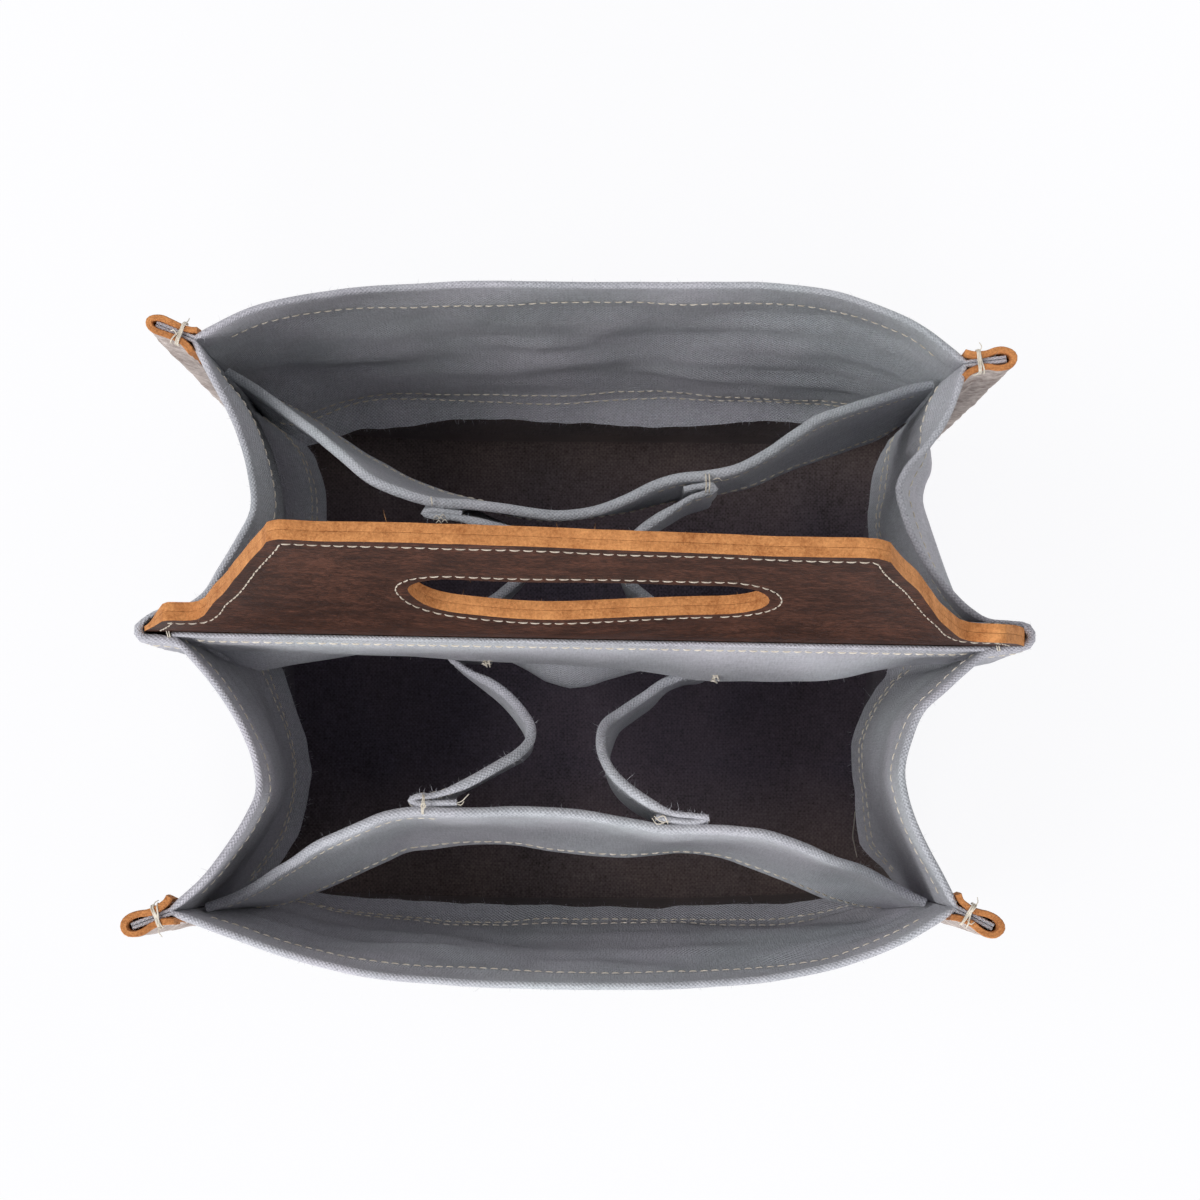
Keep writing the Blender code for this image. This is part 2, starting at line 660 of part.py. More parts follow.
def strip_inner_depth(y_side, x, z):
    """Depth of the face of a strip that looks to the middle of the bag."""
    line = strip_line(y_side, max(z, STRIP_LOW_EDGE))
    inner = offset_line(line, [-STRIP_THICKNESS / 2] * len(line))
    return value_on_line(inner, 0, x)


def centre_face_depth():
    """Depth of the centre strip's face where the cross dividers' upper edges meet it."""
    leg_foot = RIM_HEIGHT - HANDLE_INSERT_DEPTH
    share = share_between(BAND_LOW_EDGE, DIVIDER_LOW_EDGE, leg_foot)
    return mix(DIVIDER_FOLD_RADIUS + DIVIDER_LAYER_THICKNESS / 2, DIVIDER_OUTER_FACE, share)


def cross_line(x_side, y_side, at_centre, at_strip, bulge, level):
    """One row of points along a cross divider, from its tab at the centre to its tab at the strip.

    level runs from 0 at its lower edge to 1 at its upper edge. x is mirrored by x_side, and y by y_side.
    """
    layer = CROSS_THICKNESS + CLEARANCE
    down = CROSS_HEIGHT * (1 - level)
    centre_z = BAND_LOW_EDGE - CLEARANCE - down
    strip_z = RIM_HEIGHT - down
    centre_tab = centre_face_depth() + CLEARANCE + CROSS_THICKNESS / 2

    def strip_tab(x):
        inner = strip_inner_depth(y_side, x * x_side, strip_z)
        return inner - TAB_CLEARANCE - CROSS_THICKNESS / 2

    points = [
        Vector((at_centre - CROSS_TAB, centre_tab, centre_z)),
        Vector((at_centre, centre_tab, centre_z)),
        Vector((at_centre + CROSS_FOLD_REACH, centre_tab + layer / 2, centre_z)),
    ]
    full_bulge = bulge - CROSS_BULGE_LOSS * (1 - level)
    start = Vector((at_centre, centre_tab + layer))
    end = Vector((at_strip, strip_tab(at_strip) - layer))
    for step in range(CROSS_STEPS + 1):
        share = step / CROSS_STEPS
        along = share - CROSS_WAVE_SHARE * math.sin(2 * math.pi * share) / (2 * math.pi)
        rise = smooth(share_between(share, CROSS_RISE_START_SHARE, 1))
        x = mix(start.x, end.x, share) - full_bulge * math.sin(math.pi * share)
        points.append(Vector((x, mix(start.y, end.y, along), mix(centre_z, strip_z, rise))))
    points += [
        Vector((at_strip + CROSS_FOLD_REACH, strip_tab(at_strip) - layer / 2, strip_z)),
        Vector((at_strip, strip_tab(at_strip), strip_z)),
        Vector((at_strip - CROSS_TAB / 2, strip_tab(at_strip - CROSS_TAB / 2), strip_z)),
        Vector((at_strip - CROSS_TAB, strip_tab(at_strip - CROSS_TAB), strip_z)),
    ]
    return points


def cross_solid(x_side, y_side, at_centre, at_strip, bulge):
    rows_a = []
    rows_b = []
    for level in CROSS_LEVEL_SHARES:
        points = cross_line(x_side, y_side, at_centre, at_strip, bulge, level)
        line = [p.to_2d() for p in points]
        for rows, out in ((rows_a, CROSS_THICKNESS / 2), (rows_b, -CROSS_THICKNESS / 2)):
            moved = offset_line(line, [out] * len(line))
            rows.append([Vector((m.x * x_side, m.y * y_side, p.z)) for m, p in zip(moved, points)])
    return sheet_between(rows_a, rows_b)


def main():
    for old in list(bpy.data.objects):
        bpy.data.objects.remove(old)

    canvas = material("grey_canvas", (0.38, 0.39, 0.42), 0.9)
    dark_canvas = material("dark_canvas", (0.035, 0.028, 0.026), 0.9)
    handle_leather = material("handle_leather", (0.085, 0.037, 0.025), 0.5)
    binding_leather = material("binding_leather", (0.42, 0.20, 0.09), 0.7)

    add_object("bottom_panel", bottom_solid(), dark_canvas)
    add_object("front_wall", wall_solid(front_line, front_thicknesses, False), canvas)
    add_object("back_wall", wall_solid(front_line, front_thicknesses, True), canvas)
    add_object("right_side_panel", wall_solid(swelling_line, right_thicknesses, False), canvas)
    add_object("left_side_panel", wall_solid(right_line, right_thicknesses, True), canvas)

    add_object("centre_divider", divider_solid(), canvas)
    add_object("centre_band_front", band_solid(-1), canvas)
    add_object("centre_band_back", band_solid(1), canvas)

    inside = CLEARANCE / 2
    outside = HANDLE_HALF_THICKNESS
    add_object("handle_front_leather", handle_solid(-outside, -inside), handle_leather)
    add_object("handle_back_leather", handle_solid(inside, outside), handle_leather)

    add_object("front_divider_strip", strip_solid(-1), canvas)
    add_object("back_divider_strip", strip_solid(1), canvas)

    # Each as (name, side in x, side in y, place at the strip, bulge to the middle)
    crosses = (
        ("front_left", -1, -1, FRONT_LEFT_CROSS_PLACE_AT_STRIP, FRONT_LEFT_CROSS_BULGE),
        ("front_right", 1, -1, FRONT_RIGHT_CROSS_PLACE_AT_STRIP, FRONT_RIGHT_CROSS_BULGE),
        ("back_left", -1, 1, BACK_LEFT_CROSS_PLACE_AT_STRIP, BACK_CROSS_BULGE),
        ("back_right", 1, 1, BACK_RIGHT_CROSS_PLACE_AT_STRIP, BACK_CROSS_BULGE),
    )
    for name, x_side, y_side, at_strip, bulge in crosses:
        at_centre = LEFT_CROSS_PLACE_AT_CENTRE if x_side < 0 else RIGHT_CROSS_PLACE_AT_CENTRE
        solid = cross_solid(x_side, y_side, at_centre, at_strip, bulge)
        add_object(f"cross_divider_{name}", solid, canvas)

    corners = (("front_left", -1, 1), ("front_right", 1, 1), ("back_left", -1, -1), ("back_right", 1, -1))
    for name, x_side, y_side in corners:
        add_object(f"corner_binding_{name}", binding_solid(x_side, y_side), binding_leather)


main()
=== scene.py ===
"""Looks of the canvas beer carrier: its sewn canvas, leather, thread and loose fibres, in a pale studio.

Sizes are in millimetres until a mesh is made, in the frame of the CAD model: +X right, +Y back, +Z up.
"""

import math

import bmesh
import bpy
import numpy as np
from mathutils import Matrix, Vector, noise


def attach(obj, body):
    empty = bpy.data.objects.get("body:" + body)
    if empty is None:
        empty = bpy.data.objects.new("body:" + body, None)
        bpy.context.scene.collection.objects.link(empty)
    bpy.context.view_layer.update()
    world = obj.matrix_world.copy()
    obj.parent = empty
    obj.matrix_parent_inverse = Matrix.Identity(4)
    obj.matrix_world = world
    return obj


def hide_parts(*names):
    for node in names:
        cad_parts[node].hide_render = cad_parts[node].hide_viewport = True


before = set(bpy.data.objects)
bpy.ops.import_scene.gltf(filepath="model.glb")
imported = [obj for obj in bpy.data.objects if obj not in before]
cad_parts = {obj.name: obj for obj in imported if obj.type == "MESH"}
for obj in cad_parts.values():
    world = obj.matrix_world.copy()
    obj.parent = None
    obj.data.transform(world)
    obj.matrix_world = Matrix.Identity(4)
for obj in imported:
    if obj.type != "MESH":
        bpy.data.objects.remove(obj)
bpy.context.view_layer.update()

MM = 0.001
rng = np.random.default_rng(7)

# Heights above the floor
RIM = 150.0
HEM = 15.0
HEM_SEAM = RIM - 13.2
RAW_EDGE = 43.0
STITCHED = 50.0
SECOND_SEAM = 55.0
UPSTAND = 58.0
STRIP = 48.0

# Halves of the sheets' thicknesses, one layer of leather, and the gap between two sheets
CANVAS = 0.95
FLAP = 0.65
BAND = 0.75
DIVIDER = 0.6
LAYER = 2.65
GAP = 0.3

# The fins of the corner seams
FIN = 12.0
FIN_LAYER = 0.56
FIN_COLUMNS = 7

# The handle, from the rim upwards
HANDLE_TOP = 93.4
HANDLE_FOOT = -28.0
BEND = 12.0
SLOT_CENTRE = (2.4, 49.0)
SLOT_REACH, SLOT_STRAIGHT, SLOT_RADIUS = 35.0, 33.0, 13.5

# The photograph's camera: its picture's side and focal length are in pixels
EYE = np.array([5.46, -55.2, 848.0])
TILT = math.radians(5.2)
PICTURE, FOCAL, SENSOR = 1200, 2430, 36

# Small geometry helpers


def unit(v):
    v = np.asarray(v, float)
    return v / np.maximum(np.linalg.norm(v, axis=-1, keepdims=True), 1e-9)


def smooth(t):
    t = np.clip(t, 0, 1)
    return t * t * (3 - 2 * t)


def noise_at(x, y, z):
    return noise.noise(Vector((x, y, z)))


def chord(points):
    """How far along a line each of its points lies."""
    return np.concatenate([[0], np.cumsum(np.linalg.norm(np.diff(points, axis=0), axis=1))])


def values_at(line, far, at):
    """What a line's columns hold at these distances along it."""
    return np.stack([np.interp(at, far, column) for column in line.T], -1)


def read_off(table, at):
    """The value at a place, from rows of place and value, by straight lines in between."""
    knots = np.array(table, float)
    return np.interp(at, knots[:, 0], knots[:, 1])


def at_height(plan, z):
    return np.column_stack([plan, np.full(len(plan), z)])


def from_ends(columns):
    """How many columns away the nearer end is."""
    return np.minimum(np.arange(columns), np.arange(columns)[::-1])


def hermite(points, knots, at):
    """Points of the smooth curve through the given points, at these values of its knots."""
    slope = np.gradient(points, knots, axis=0)
    i = np.clip(np.searchsorted(knots, at) - 1, 0, len(knots) - 2)
    h = (knots[i + 1] - knots[i])[:, None]
    t = (at - knots[i])[:, None] / h
    return (
        (2 * t**3 - 3 * t**2 + 1) * points[i]
        + (t**3 - 2 * t**2 + t) * h * slope[i]
        + (-2 * t**3 + 3 * t**2) * points[i + 1]
        + (t**3 - t**2) * h * slope[i + 1]
    )


def resample(line, step):
    """The line again with its points evenly spaced, about this far apart."""
    far = chord(line)
    return values_at(line, far, np.linspace(0, far[-1], max(3, int(round(far[-1] / step)) + 1)))


def curve_through(points, step):
    points = np.asarray(points, float)
    knots = chord(points)
    return resample(hermite(points, knots, np.linspace(0, knots[-1], 400)), step)


def paired(top, base, step=2.0):
    """Two plan lines with as many points each: the top one evenly spaced, the base one in step with it."""
    top, base = np.asarray(top, float), np.asarray(base, float)
    knots = chord(top)
    fine = np.linspace(0, knots[-1], 600)
    far = chord(hermite(top, knots, fine))
    at = np.interp(np.linspace(0, far[-1], int(round(far[-1] / step)) + 1), far, fine)
    return hermite(top, knots, at), hermite(base, knots, at)


def outward_sides(line, middle=0.0):
    """At each point of a plan line, the way across it that leads away from its middle."""
    run = unit(np.gradient(line, axis=0))
    side = np.stack([run[:, 1], -run[:, 0]], 1)
    return side if (side * (line - middle)).sum() >= 0 else -side


def inset(loop, distance):
    return loop - outward_sides(loop, loop.mean(0)) * distance


def ripple(points, seed, size, height):
    """A smooth random height at each point, of about this size across."""
    flat = points.reshape(-1, 3) / size
    out = [noise_at(x + seed * 7.3, y - seed * 3.1, z + seed) for x, y, z in flat]
    return np.array(out).reshape(points.shape[:-1]) * height


def normals_of(mid):
    """The normals of a sheet's middle surface, and the way up along it."""
    up = np.gradient(mid, axis=0)
    return unit(np.cross(np.gradient(mid, axis=1), up)), unit(up)


# Meshes


def ring_faces(index):
    """Quads between closed rings of points, given as rows of their numbers."""
    faces = []
    for lower, upper in zip(index, index[1:]):
        faces += np.stack([lower, np.roll(lower, -1), np.roll(upper, -1), upper], 1).tolist()
    return faces


def loft_faces(count, columns):
    """Faces of a cross-section with this many points, drawn along the columns and closed at both ends."""
    index = np.arange(count * columns).reshape(count, columns)
    faces = []
    for i in range(count):
        near, far = index[i], index[(i + 1) % count]
        faces += np.stack([near[:-1], near[1:], far[1:], far[:-1]], 1).tolist()
    for c in (0, columns - 1):
        faces += [index[[i, i + 1, count - 2 - i, count - 1 - i], c].tolist() for i in range(count // 2 - 1)]
    return faces


def add_piece(name, mesh, materials, sharp=40):
    """Shades a mesh and adds it to the scene, on the one body."""
    mesh.shade_smooth()
    mesh.set_sharp_from_angle(angle=math.radians(sharp))
    for material in materials:
        mesh.materials.append(material)
    piece = bpy.data.objects.new(name, mesh)
    bpy.context.scene.collection.objects.link(piece)
    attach(piece, "root")
    return piece


def to_object(name, points, faces, materials, sharp=40):
    mesh = bpy.data.meshes.new(name)
    mesh.from_pydata((points * MM).tolist(), [], faces)
    work = bmesh.new()
    work.from_mesh(mesh)
    bmesh.ops.recalc_face_normals(work, faces=work.faces)
    work.to_mesh(mesh)
    work.free()
    return add_piece(name, mesh, materials, sharp)


def set_cloth(piece, values):
    """Keeps where each point lies on the flat cloth, in millimetres, for the weave."""
    data = piece.data.attributes.new("cloth", "FLOAT_VECTOR", "POINT")
    data.data.foreach_set("vector", np.asarray(values, np.float32).ravel())


# Shader helpers


def shader(name):
    made = bpy.data.materials.new(name)
    made.use_nodes = True
    tree = made.node_tree
    return made, tree, tree.nodes["Principled BSDF"]


def feed(tree, made, inputs):
    """Gives a node's inputs their values, or what another node gives."""
    for key, value in inputs.items():
        if isinstance(value, bpy.types.NodeSocket):
            tree.links.new(value, made.inputs[key])
        else:
            made.inputs[key].default_value = value


def node(tree, kind, inputs=None, **settings):
    made = tree.nodes.new(kind)
    for key, value in settings.items():
        setattr(made, key, value)
    feed(tree, made, inputs or {})
    return made


def ramp(tree, factor, stops):
    made = node(tree, "ShaderNodeValToRGB", {"Fac": factor})
    while len(made.color_ramp.elements) < len(stops):
        made.color_ramp.elements.new(0.5)
    for element, (place, colour) in zip(made.color_ramp.elements, stops):
        element.position = place
        element.color = (*colour, 1)
    return made.outputs["Color"]


def maths(tree, operation, a, b=0.0, c=0.0):
    return node(tree, "ShaderNodeMath", {0: a, 1: b, 2: c}, operation=operation).outputs[0]


def weighted(tree, first, *others):
    """The sum of several tones, each times its weight."""
    total = maths(tree, "MULTIPLY", *first)
    for tone, weight in others:
        total = maths(tree, "MULTIPLY_ADD", tone, weight, total)
    return total


def noise_of(tree, vector, scale, detail=3.0, roughness=0.55):
    inputs = {"Vector": vector, "Scale": scale, "Detail": detail, "Roughness": roughness}
    return node(tree, "ShaderNodeTexNoise", inputs).outputs["Fac"]


def bump(tree, strength, distance, height, **more):
    inputs = {"Strength": strength, "Distance": distance, "Height": height, **more}
    return node(tree, "ShaderNodeBump", inputs).outputs[0]


def scaled(tree, vector, scale):
    return node(tree, "ShaderNodeMapping", {"Vector": vector, "Scale": scale}).outputs[0]


def place_of(tree):
    return node(tree, "ShaderNodeTexCoord").outputs["Object"]


def multiplied(tree, a, b):
    """One colour times another."""
    made = node(tree, "ShaderNodeMix", {0: 1.0, 6: a, 7: b}, data_type="RGBA", blend_type="MULTIPLY")
    return made.outputs[2]


# Materials


def weave_height(tree, cloth, pitch):
    """Height of a plain weave, over and under by turns, whose yarns wander a little."""
    wobble = node(tree, "ShaderNodeTexNoise", {"Vector": cloth, "Scale": 0.12, "Detail": 2.0})
    moved = node(tree, "ShaderNodeVectorMath", {0: cloth, 1: wobble.outputs["Color"]}, operation="ADD")
    split = node(tree, "ShaderNodeSeparateXYZ", {0: moved.outputs[0]})
    waves = (maths(tree, "SINE", maths(tree, "MULTIPLY", split.outputs[k], math.pi / pitch)) for k in (0, 1))
    return maths(tree, "MULTIPLY", *waves)


def canvas(name, colours, tints, weave_tone, painted_shade_and_light=None, pitch=0.62, blotch=0.5, fuzz=0.25, relief=0.8):
    """Uneven plain weave. Tints vary it in patches. Painted shade and painted light vary it from the
    carrier's middle to its outer cells: darker and bluer near the middle, lighter towards the front and back.
    """
    made, tree, bsdf = shader(name)
    cloth = node(tree, "ShaderNodeAttribute", attribute_name="cloth").outputs["Vector"]
    place = place_of(tree)
    weave = weave_height(tree, cloth, pitch)
    yarn_ways = ((0.22, 1.6, 1.0), (1.6, 0.22, 1.0))
    slub = maths(tree, "ADD", *(noise_of(tree, scaled(tree, cloth, way), 1.0, 2.0) for way in yarn_ways))
    soft = noise_of(tree, place, 32.0, 4.0)
    large = noise_of(tree, place, 11.0)
    speck = maths(tree, "SUBTRACT", noise_of(tree, cloth, 1.3, 2.0), 0.5)
    tone = weighted(tree, (weave, weave_tone), (slub, 0.55), (speck, 0.5), (soft, blotch), (large, blotch))
    dark, light = colours
    colour = ramp(tree, maths(tree, "SUBTRACT", tone, 0.05 + blotch), [(0.15, dark), (0.85, light)])
    patch = ramp(tree, noise_of(tree, place, 17.0), [(0.36, tints[0]), (0.62, tints[1])])
    colour = multiplied(tree, colour, patch)
    if painted_shade_and_light:
        # painted shade darkens and blues the cloth near the carrier's middle, painted light brightens it
        # towards the front and back
        away = maths(tree, "ABSOLUTE", node(tree, "ShaderNodeSeparateXYZ", {0: place}).outputs[1])
        painted_shade_and_light_tone = ramp(tree, maths(tree, "MULTIPLY", away, 10.0), [(0.36, painted_shade_and_light[0]), (0.72, painted_shade_and_light[1])])
        colour = multiplied(tree, colour, painted_shade_and_light_tone)
    fine = bump(tree, relief, 0.0003, weighted(tree, (slub, 0.9), (weave, 0.5)))
    looks = {
        "Base Color": colour,
        "Normal": bump(tree, 0.6, 0.0012, soft, Normal=fine),
        "Roughness": 0.92,
        "Specular IOR Level": 0.2,
        "Sheen Weight": fuzz,
        "Sheen Roughness": 0.6,
    }
    feed(tree, bsdf, looks)
    return made


def leather_face():
    """The grain side: fine creases that run along the handle, patches and a little gloss."""
    made, tree, bsdf = shader("leather_face")
    place = place_of(tree)
    long = scaled(tree, place, (0.42, 1.0, 1.0))
    crease = noise_of(tree, long, 1300.0, 5.0, 0.7)
    band, patch = noise_of(tree, long, 260.0), noise_of(tree, place, 30.0)
    tone = weighted(tree, (band, 0.3), (crease, 0.7), (patch, 0.3))
    stops = [(0.42, (0.011, 0.0045, 0.0034)), (0.62, (0.033, 0.0122, 0.0072)), (0.84, (0.122, 0.047, 0.029))]
    cells = node(tree, "ShaderNodeTexVoronoi", {"Vector": long, "Scale": 700.0}, feature="DISTANCE_TO_EDGE")
    height = maths(tree, "MULTIPLY_ADD", crease, 0.8, cells.outputs["Distance"])
    looks = {
        "Base Color": ramp(tree, tone, stops),
        "Normal": bump(tree, 0.6, 0.0004, height),
        "Roughness": maths(tree, "MULTIPLY_ADD", crease, 0.3, 0.45),
        "Specular IOR Level": 0.22,
    }
    feed(tree, bsdf, looks)
    return made


def leather_edge(name, dark, light, fibre=1500.0):
    """Raw leather, cut or split: tan, fibrous and matt. The bindings' grain side uses it too, with a pale
    grey-brown colour that is painted sheen.
    """
    made, tree, bsdf = shader(name)
    place = place_of(tree)
    fine = noise_of(tree, place, fibre, 4.0, 0.7)
    wide = noise_of(tree, place, 180.0, 4.0)
    tone = weighted(tree, (noise_of(tree, place, 40.0, 2.0), 0.25), (wide, 0.4), (fine, 0.5))
    looks = {
        "Base Color": ramp(tree, tone, [(0.42, dark), (0.70, light)]),
        "Normal": bump(tree, 0.7, 0.0006, maths(tree, "MULTIPLY_ADD", fine, 0.7, wide)),
        "Roughness": 0.88,
        "Specular IOR Level": 0.25,
    }
    feed(tree, bsdf, looks)
    return made


def thread_material(name, dark, light):
    made, tree, bsdf = shader(name)
    place = place_of(tree)
    tone = noise_of(tree, place, 600.0)
    looks = {
        "Base Color": ramp(tree, tone, [(0.3, dark), (0.75, light)]),
        "Normal": bump(tree, 0.5, 0.0002, noise_of(tree, place, 2500.0)),
        "Roughness": 0.8,
    }
    feed(tree, bsdf, looks)
    return made


def fibre_material(name, colour):
    """Loose fibres: matt, with a tone that changes from one to the next."""
    made, tree, bsdf = shader(name)
    tone = noise_of(tree, place_of(tree), 500.0, 2.0)
    looks = {
        "Base Color": ramp(tree, tone, [(0.3, tuple(0.7 * c for c in colour)), (0.7, colour)]),
        "Normal": bump(tree, 0.3, 0.0001, tone),
        "Roughness": 0.9,
    }
    feed(tree, bsdf, looks)
    return made


GREY = canvas(
    "grey_canvas_cloth",
    ((0.32, 0.33, 0.365), (0.65, 0.665, 0.715)),
    tints=((0.965, 0.99, 0.975), (1.02, 0.975, 1.0)),
    weave_tone=0.18,
    blotch=0.62,
)
DARK = canvas(
    "dark_canvas_cloth",
    ((0.042, 0.031, 0.031), (0.215, 0.176, 0.178)),
    tints=((0.95, 0.97, 1.03), (1.05, 1.0, 0.98)),
    weave_tone=0.09,
    # painted shade near the carrier's middle, painted light towards its front and back
    painted_shade_and_light=((0.66, 0.68, 0.88), (1.1, 1.06, 1.0)),
    pitch=0.75,
    fuzz=0.1,
    relief=0.2,
)
FACE = leather_face()
CUT = leather_edge("leather_cut_edge", (0.36, 0.125, 0.036), (0.78, 0.355, 0.13), 1300.0)
BIND_CUT = leather_edge("binding_cut_edge", (0.24, 0.08, 0.025), (0.70, 0.30, 0.105))
# The bindings' grain: brown leather made pale grey-brown by painted sheen, on a matt surface
BIND_GRAIN_PAINTED_SHEEN = leather_edge("binding_grain_painted_sheen", (0.24, 0.185, 0.165), (0.66, 0.585, 0.55), 500.0)
THREAD = thread_material("thread", (0.58, 0.52, 0.43), (0.86, 0.80, 0.70))
HANDLE_THREAD = thread_material("handle_thread", (0.42, 0.36, 0.29), (0.70, 0.63, 0.54))
LINT = fibre_material("canvas_lint", (0.66, 0.665, 0.72))
LEATHER_LINT = fibre_material("leather_lint", (0.70, 0.36, 0.14))

# Sheets

ROUND_EDGE = 1.0
RAW_CUT = 0.25


def stretch(points, normals, first, last):
    """The part of a line between two shares of its length, with the normals along it."""
    far = chord(points)
    keep = (far >= first * far[-1]) & (far <= last * far[-1])
    return points[keep], unit(normals[keep])


class Sheet:
    """A piece of canvas: rows from its lower to its upper edge, with a thickness on both sides of them."""

    def __init__(
        self, name, mid, out, inn, outward, cad=None, foot=RAW_CUT, material=GREY, slots="grey_canvas"
    ):
        normal, up = normals_of(mid)
        self.mid = mid
        self.normal = normal if (normal * outward).sum() >= 0 else -normal
        whole = np.ones(mid.shape[:2])
        self.outer = mid + self.normal * (whole * out)[..., None]
        self.inner = mid - self.normal * (whole * inn)[..., None]
        top = self.edge(-1, up[-1], ROUND_EDGE, 7)
        low = self.edge(0, -up[0], foot, 4)
        loop = np.concatenate([low[:2][::-1], self.outer, top, self.inner[::-1], low[2:][::-1]])
        steps = np.linalg.norm(np.diff(loop, axis=0), axis=2)
        distance = np.concatenate([np.zeros((1, mid.shape[1])), np.cumsum(steps, axis=0)])
        across = np.broadcast_to(chord(mid[-1]), distance.shape)
        self.piece = to_object(name, loop.reshape(-1, 3), loft_faces(*distance.shape), [material])
        set_cloth(self.piece, np.stack([across, distance, 0 * distance], 2))
        if cad:
            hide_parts(cad)

    def edge(self, row, away, reach, count):
        """Points round one edge from the outer face to the inner one, as round as the reach says."""
        a, b = self.outer[row], self.inner[row]
        centre, half = (a + b) / 2, (a - b) / 2
        size = np.linalg.norm(half, axis=1)[:, None]
        turns = np.linspace(0, math.pi, count + 2)[1:-1]
        return np.stack([centre + math.cos(t) * half + reach * math.sin(t) * size * away for t in turns])

    def face(self, side):
        return (self.outer, 1) if side == "outer" else (self.inner, -1)

    def line(self, side, height, first, last):
        """The line on one face at this height, with the face's normals, between two shares of its length."""
        face, sign = self.face(side)
        numbers = np.arange(len(face))
        points, normals = [], []
        for c, z in enumerate(self.mid[..., 2].T):
            at = np.interp(height, z, numbers)
            i = min(int(at), len(numbers) - 2)
            t = at - i
            points.append(face[i, c] * (1 - t) + face[i + 1, c] * t)
            normals.append(sign * (self.normal[i, c] * (1 - t) + self.normal[i + 1, c] * t))
        return stretch(np.array(points), np.array(normals), first, last)

    def rim_line(self, side, depth, first, last):
        """The same for the line at this depth below the upper edge."""
        face, sign = self.face(side)
        below = np.cumsum(np.linalg.norm(np.diff(self.mid[::-1], axis=0), axis=2), axis=0)
        row = -2 - int(np.argmin(np.abs(below.mean(1) - depth)))
        return stretch(face[row], sign * self.normal[row], first, last)

    def edge_points(self, row=-1):
        """Points along an edge, the way the sheet ends there, and its normals."""
        step = self.mid[row] - self.mid[-2 if row == -1 else 1]
        return self.mid[row], unit(step), self.normal[row]


# Plan of the walls at the rim and at the floor, along the middle of the canvas


class Corner:
    """A corner seam: where the walls meet at the rim and at the floor, and the way its fin points."""

    def __init__(self, seam, tip, inset_at_floor):
        seam, tip = np.array(seam, float), np.array(tip, float)
        self.along = unit(tip - seam)
        self.side = np.array([-self.along[1], self.along[0]])
        if self.side[1] * seam[1] < 0:
            self.side = -self.side
        self.top = seam + self.along
        self.base = self.top - np.array(inset_at_floor) * np.sign(seam)

    def at(self, z):
        return self.base + (self.top - self.base) * (np.asarray(z, float) / RIM)[..., None]

    def spot(self, z, along, side):
        """The place at a height, this far along the fin and to its side."""
        return self.at(z) + along * self.along + side * self.side


BACK_LEFT = Corner((-112, 84.5), (-127, 90.5), (4.0, 1.5))
BACK_RIGHT = Corner((111, 77.5), (128, 79.5), (4.0, 0.0))
FRONT_LEFT = Corner((-116, -80.5), (-132, -86.5), (4.0, -1.0))
FRONT_RIGHT = Corner((106, -79.5), (120, -86.5), (4.0, 1.5))

BACK_TOP = [
    (-94, 94.5), (-73, 98.7), (-47, 100.2), (-24, 101.3), (5, 101.6), (35, 101.6), (58, 100.6),
    (78, 97.3), (96, 90.3),
]
BACK_BASE = [
    (-92, 81.5), (-72, 79.3), (-46, 78), (-24, 77.6), (5, 77.4), (34, 77.2), (57, 77), (76, 76.8),
    (93, 76.5),
]
FRONT_TOP = [
    (-100, -87.7), (-80, -94.3), (-62, -98.2), (-37, -100.4), (-17, -101.7), (5, -102.4), (34, -102.3),
    (53, -100.6), (77, -95.2), (92, -89.2),
]
FRONT_BASE = [
    (-97, -79.5), (-78, -80), (-60, -80.6), (-36, -81.2), (-16, -81.6), (5, -81.8), (33, -81.6),
    (51, -81.1), (73, -80.2), (88, -79.2),
]
LEFT_TOP = [
    (-107.5, 73.5), (-100, 58.5), (-96, 45), (-95.3, 35), (-99.5, 26), (-104.5, 17.5), (-109.5, 9.5),
    (-115.5, 5.9), (-121.4, 5.2), (-125, 3.4), (-128.2, -0.2), (-127.2, -2.6), (-122.3, -3.2),
    (-116, -4.4), (-110.5, -9.6), (-103.5, -18), (-97, -28.5), (-93, -39), (-92.3, -47), (-95.5, -54.5),
    (-101, -63), (-107.5, -71.5),
]
LEFT_BASE = [
    (-105, 72), (-101, 57), (-99.5, 45), (-99.6, 33), (-100.3, 22), (-101.2, 13), (-101.5, 8),
    (-101.5, 6), (-101.5, 4.5), (-101.5, 2.5), (-101.5, 0.5), (-101.5, -1.5), (-101.5, -4), (-101.4, -6),
    (-101.2, -9), (-100.5, -18), (-99.7, -28), (-99.2, -38), (-99.3, -47), (-100.5, -56), (-103, -65),
    (-107.5, -73),
]
RIGHT_TOP = [
    (109.5, 69.5), (105.5, 60.5), (100, 53), (94, 46), (92, 41.5), (93, 34.5), (96, 26), (100.5, 18),
    (106, 11), (111.5, 5.6), (117.5, 2.2), (124.5, 1.4), (128.6, 0.6), (130.2, -2.2), (128.6, -5),
    (124.5, -5.9), (116.5, -7.4), (110.5, -11.8), (104, -17.6), (98, -23), (94, -32), (92, -42),
    (93, -48), (95.2, -55), (98.8, -63), (103, -71),
]
RIGHT_BASE = [
    (104.5, 66), (101, 57), (99, 50), (98, 45), (97.5, 40), (97.5, 33), (97.7, 25), (98, 17), (98.3, 11),
    (98.5, 7), (98.5, 4.5), (98.5, 2), (98.5, -0.5), (98.5, -3), (98.5, -5.5), (98.4, -8), (98, -11),
    (97.5, -15), (96.8, -20), (96, -26), (95.2, -33), (94.8, -42), (95, -49), (95.8, -56), (97.5, -64),
    (100, -71),
]

# How the walls' shapes change with height


def side_share(z):
    """How far a side panel has gone from its shape at the floor to the fold round the handle."""
    return smooth((z - 20) / 98)


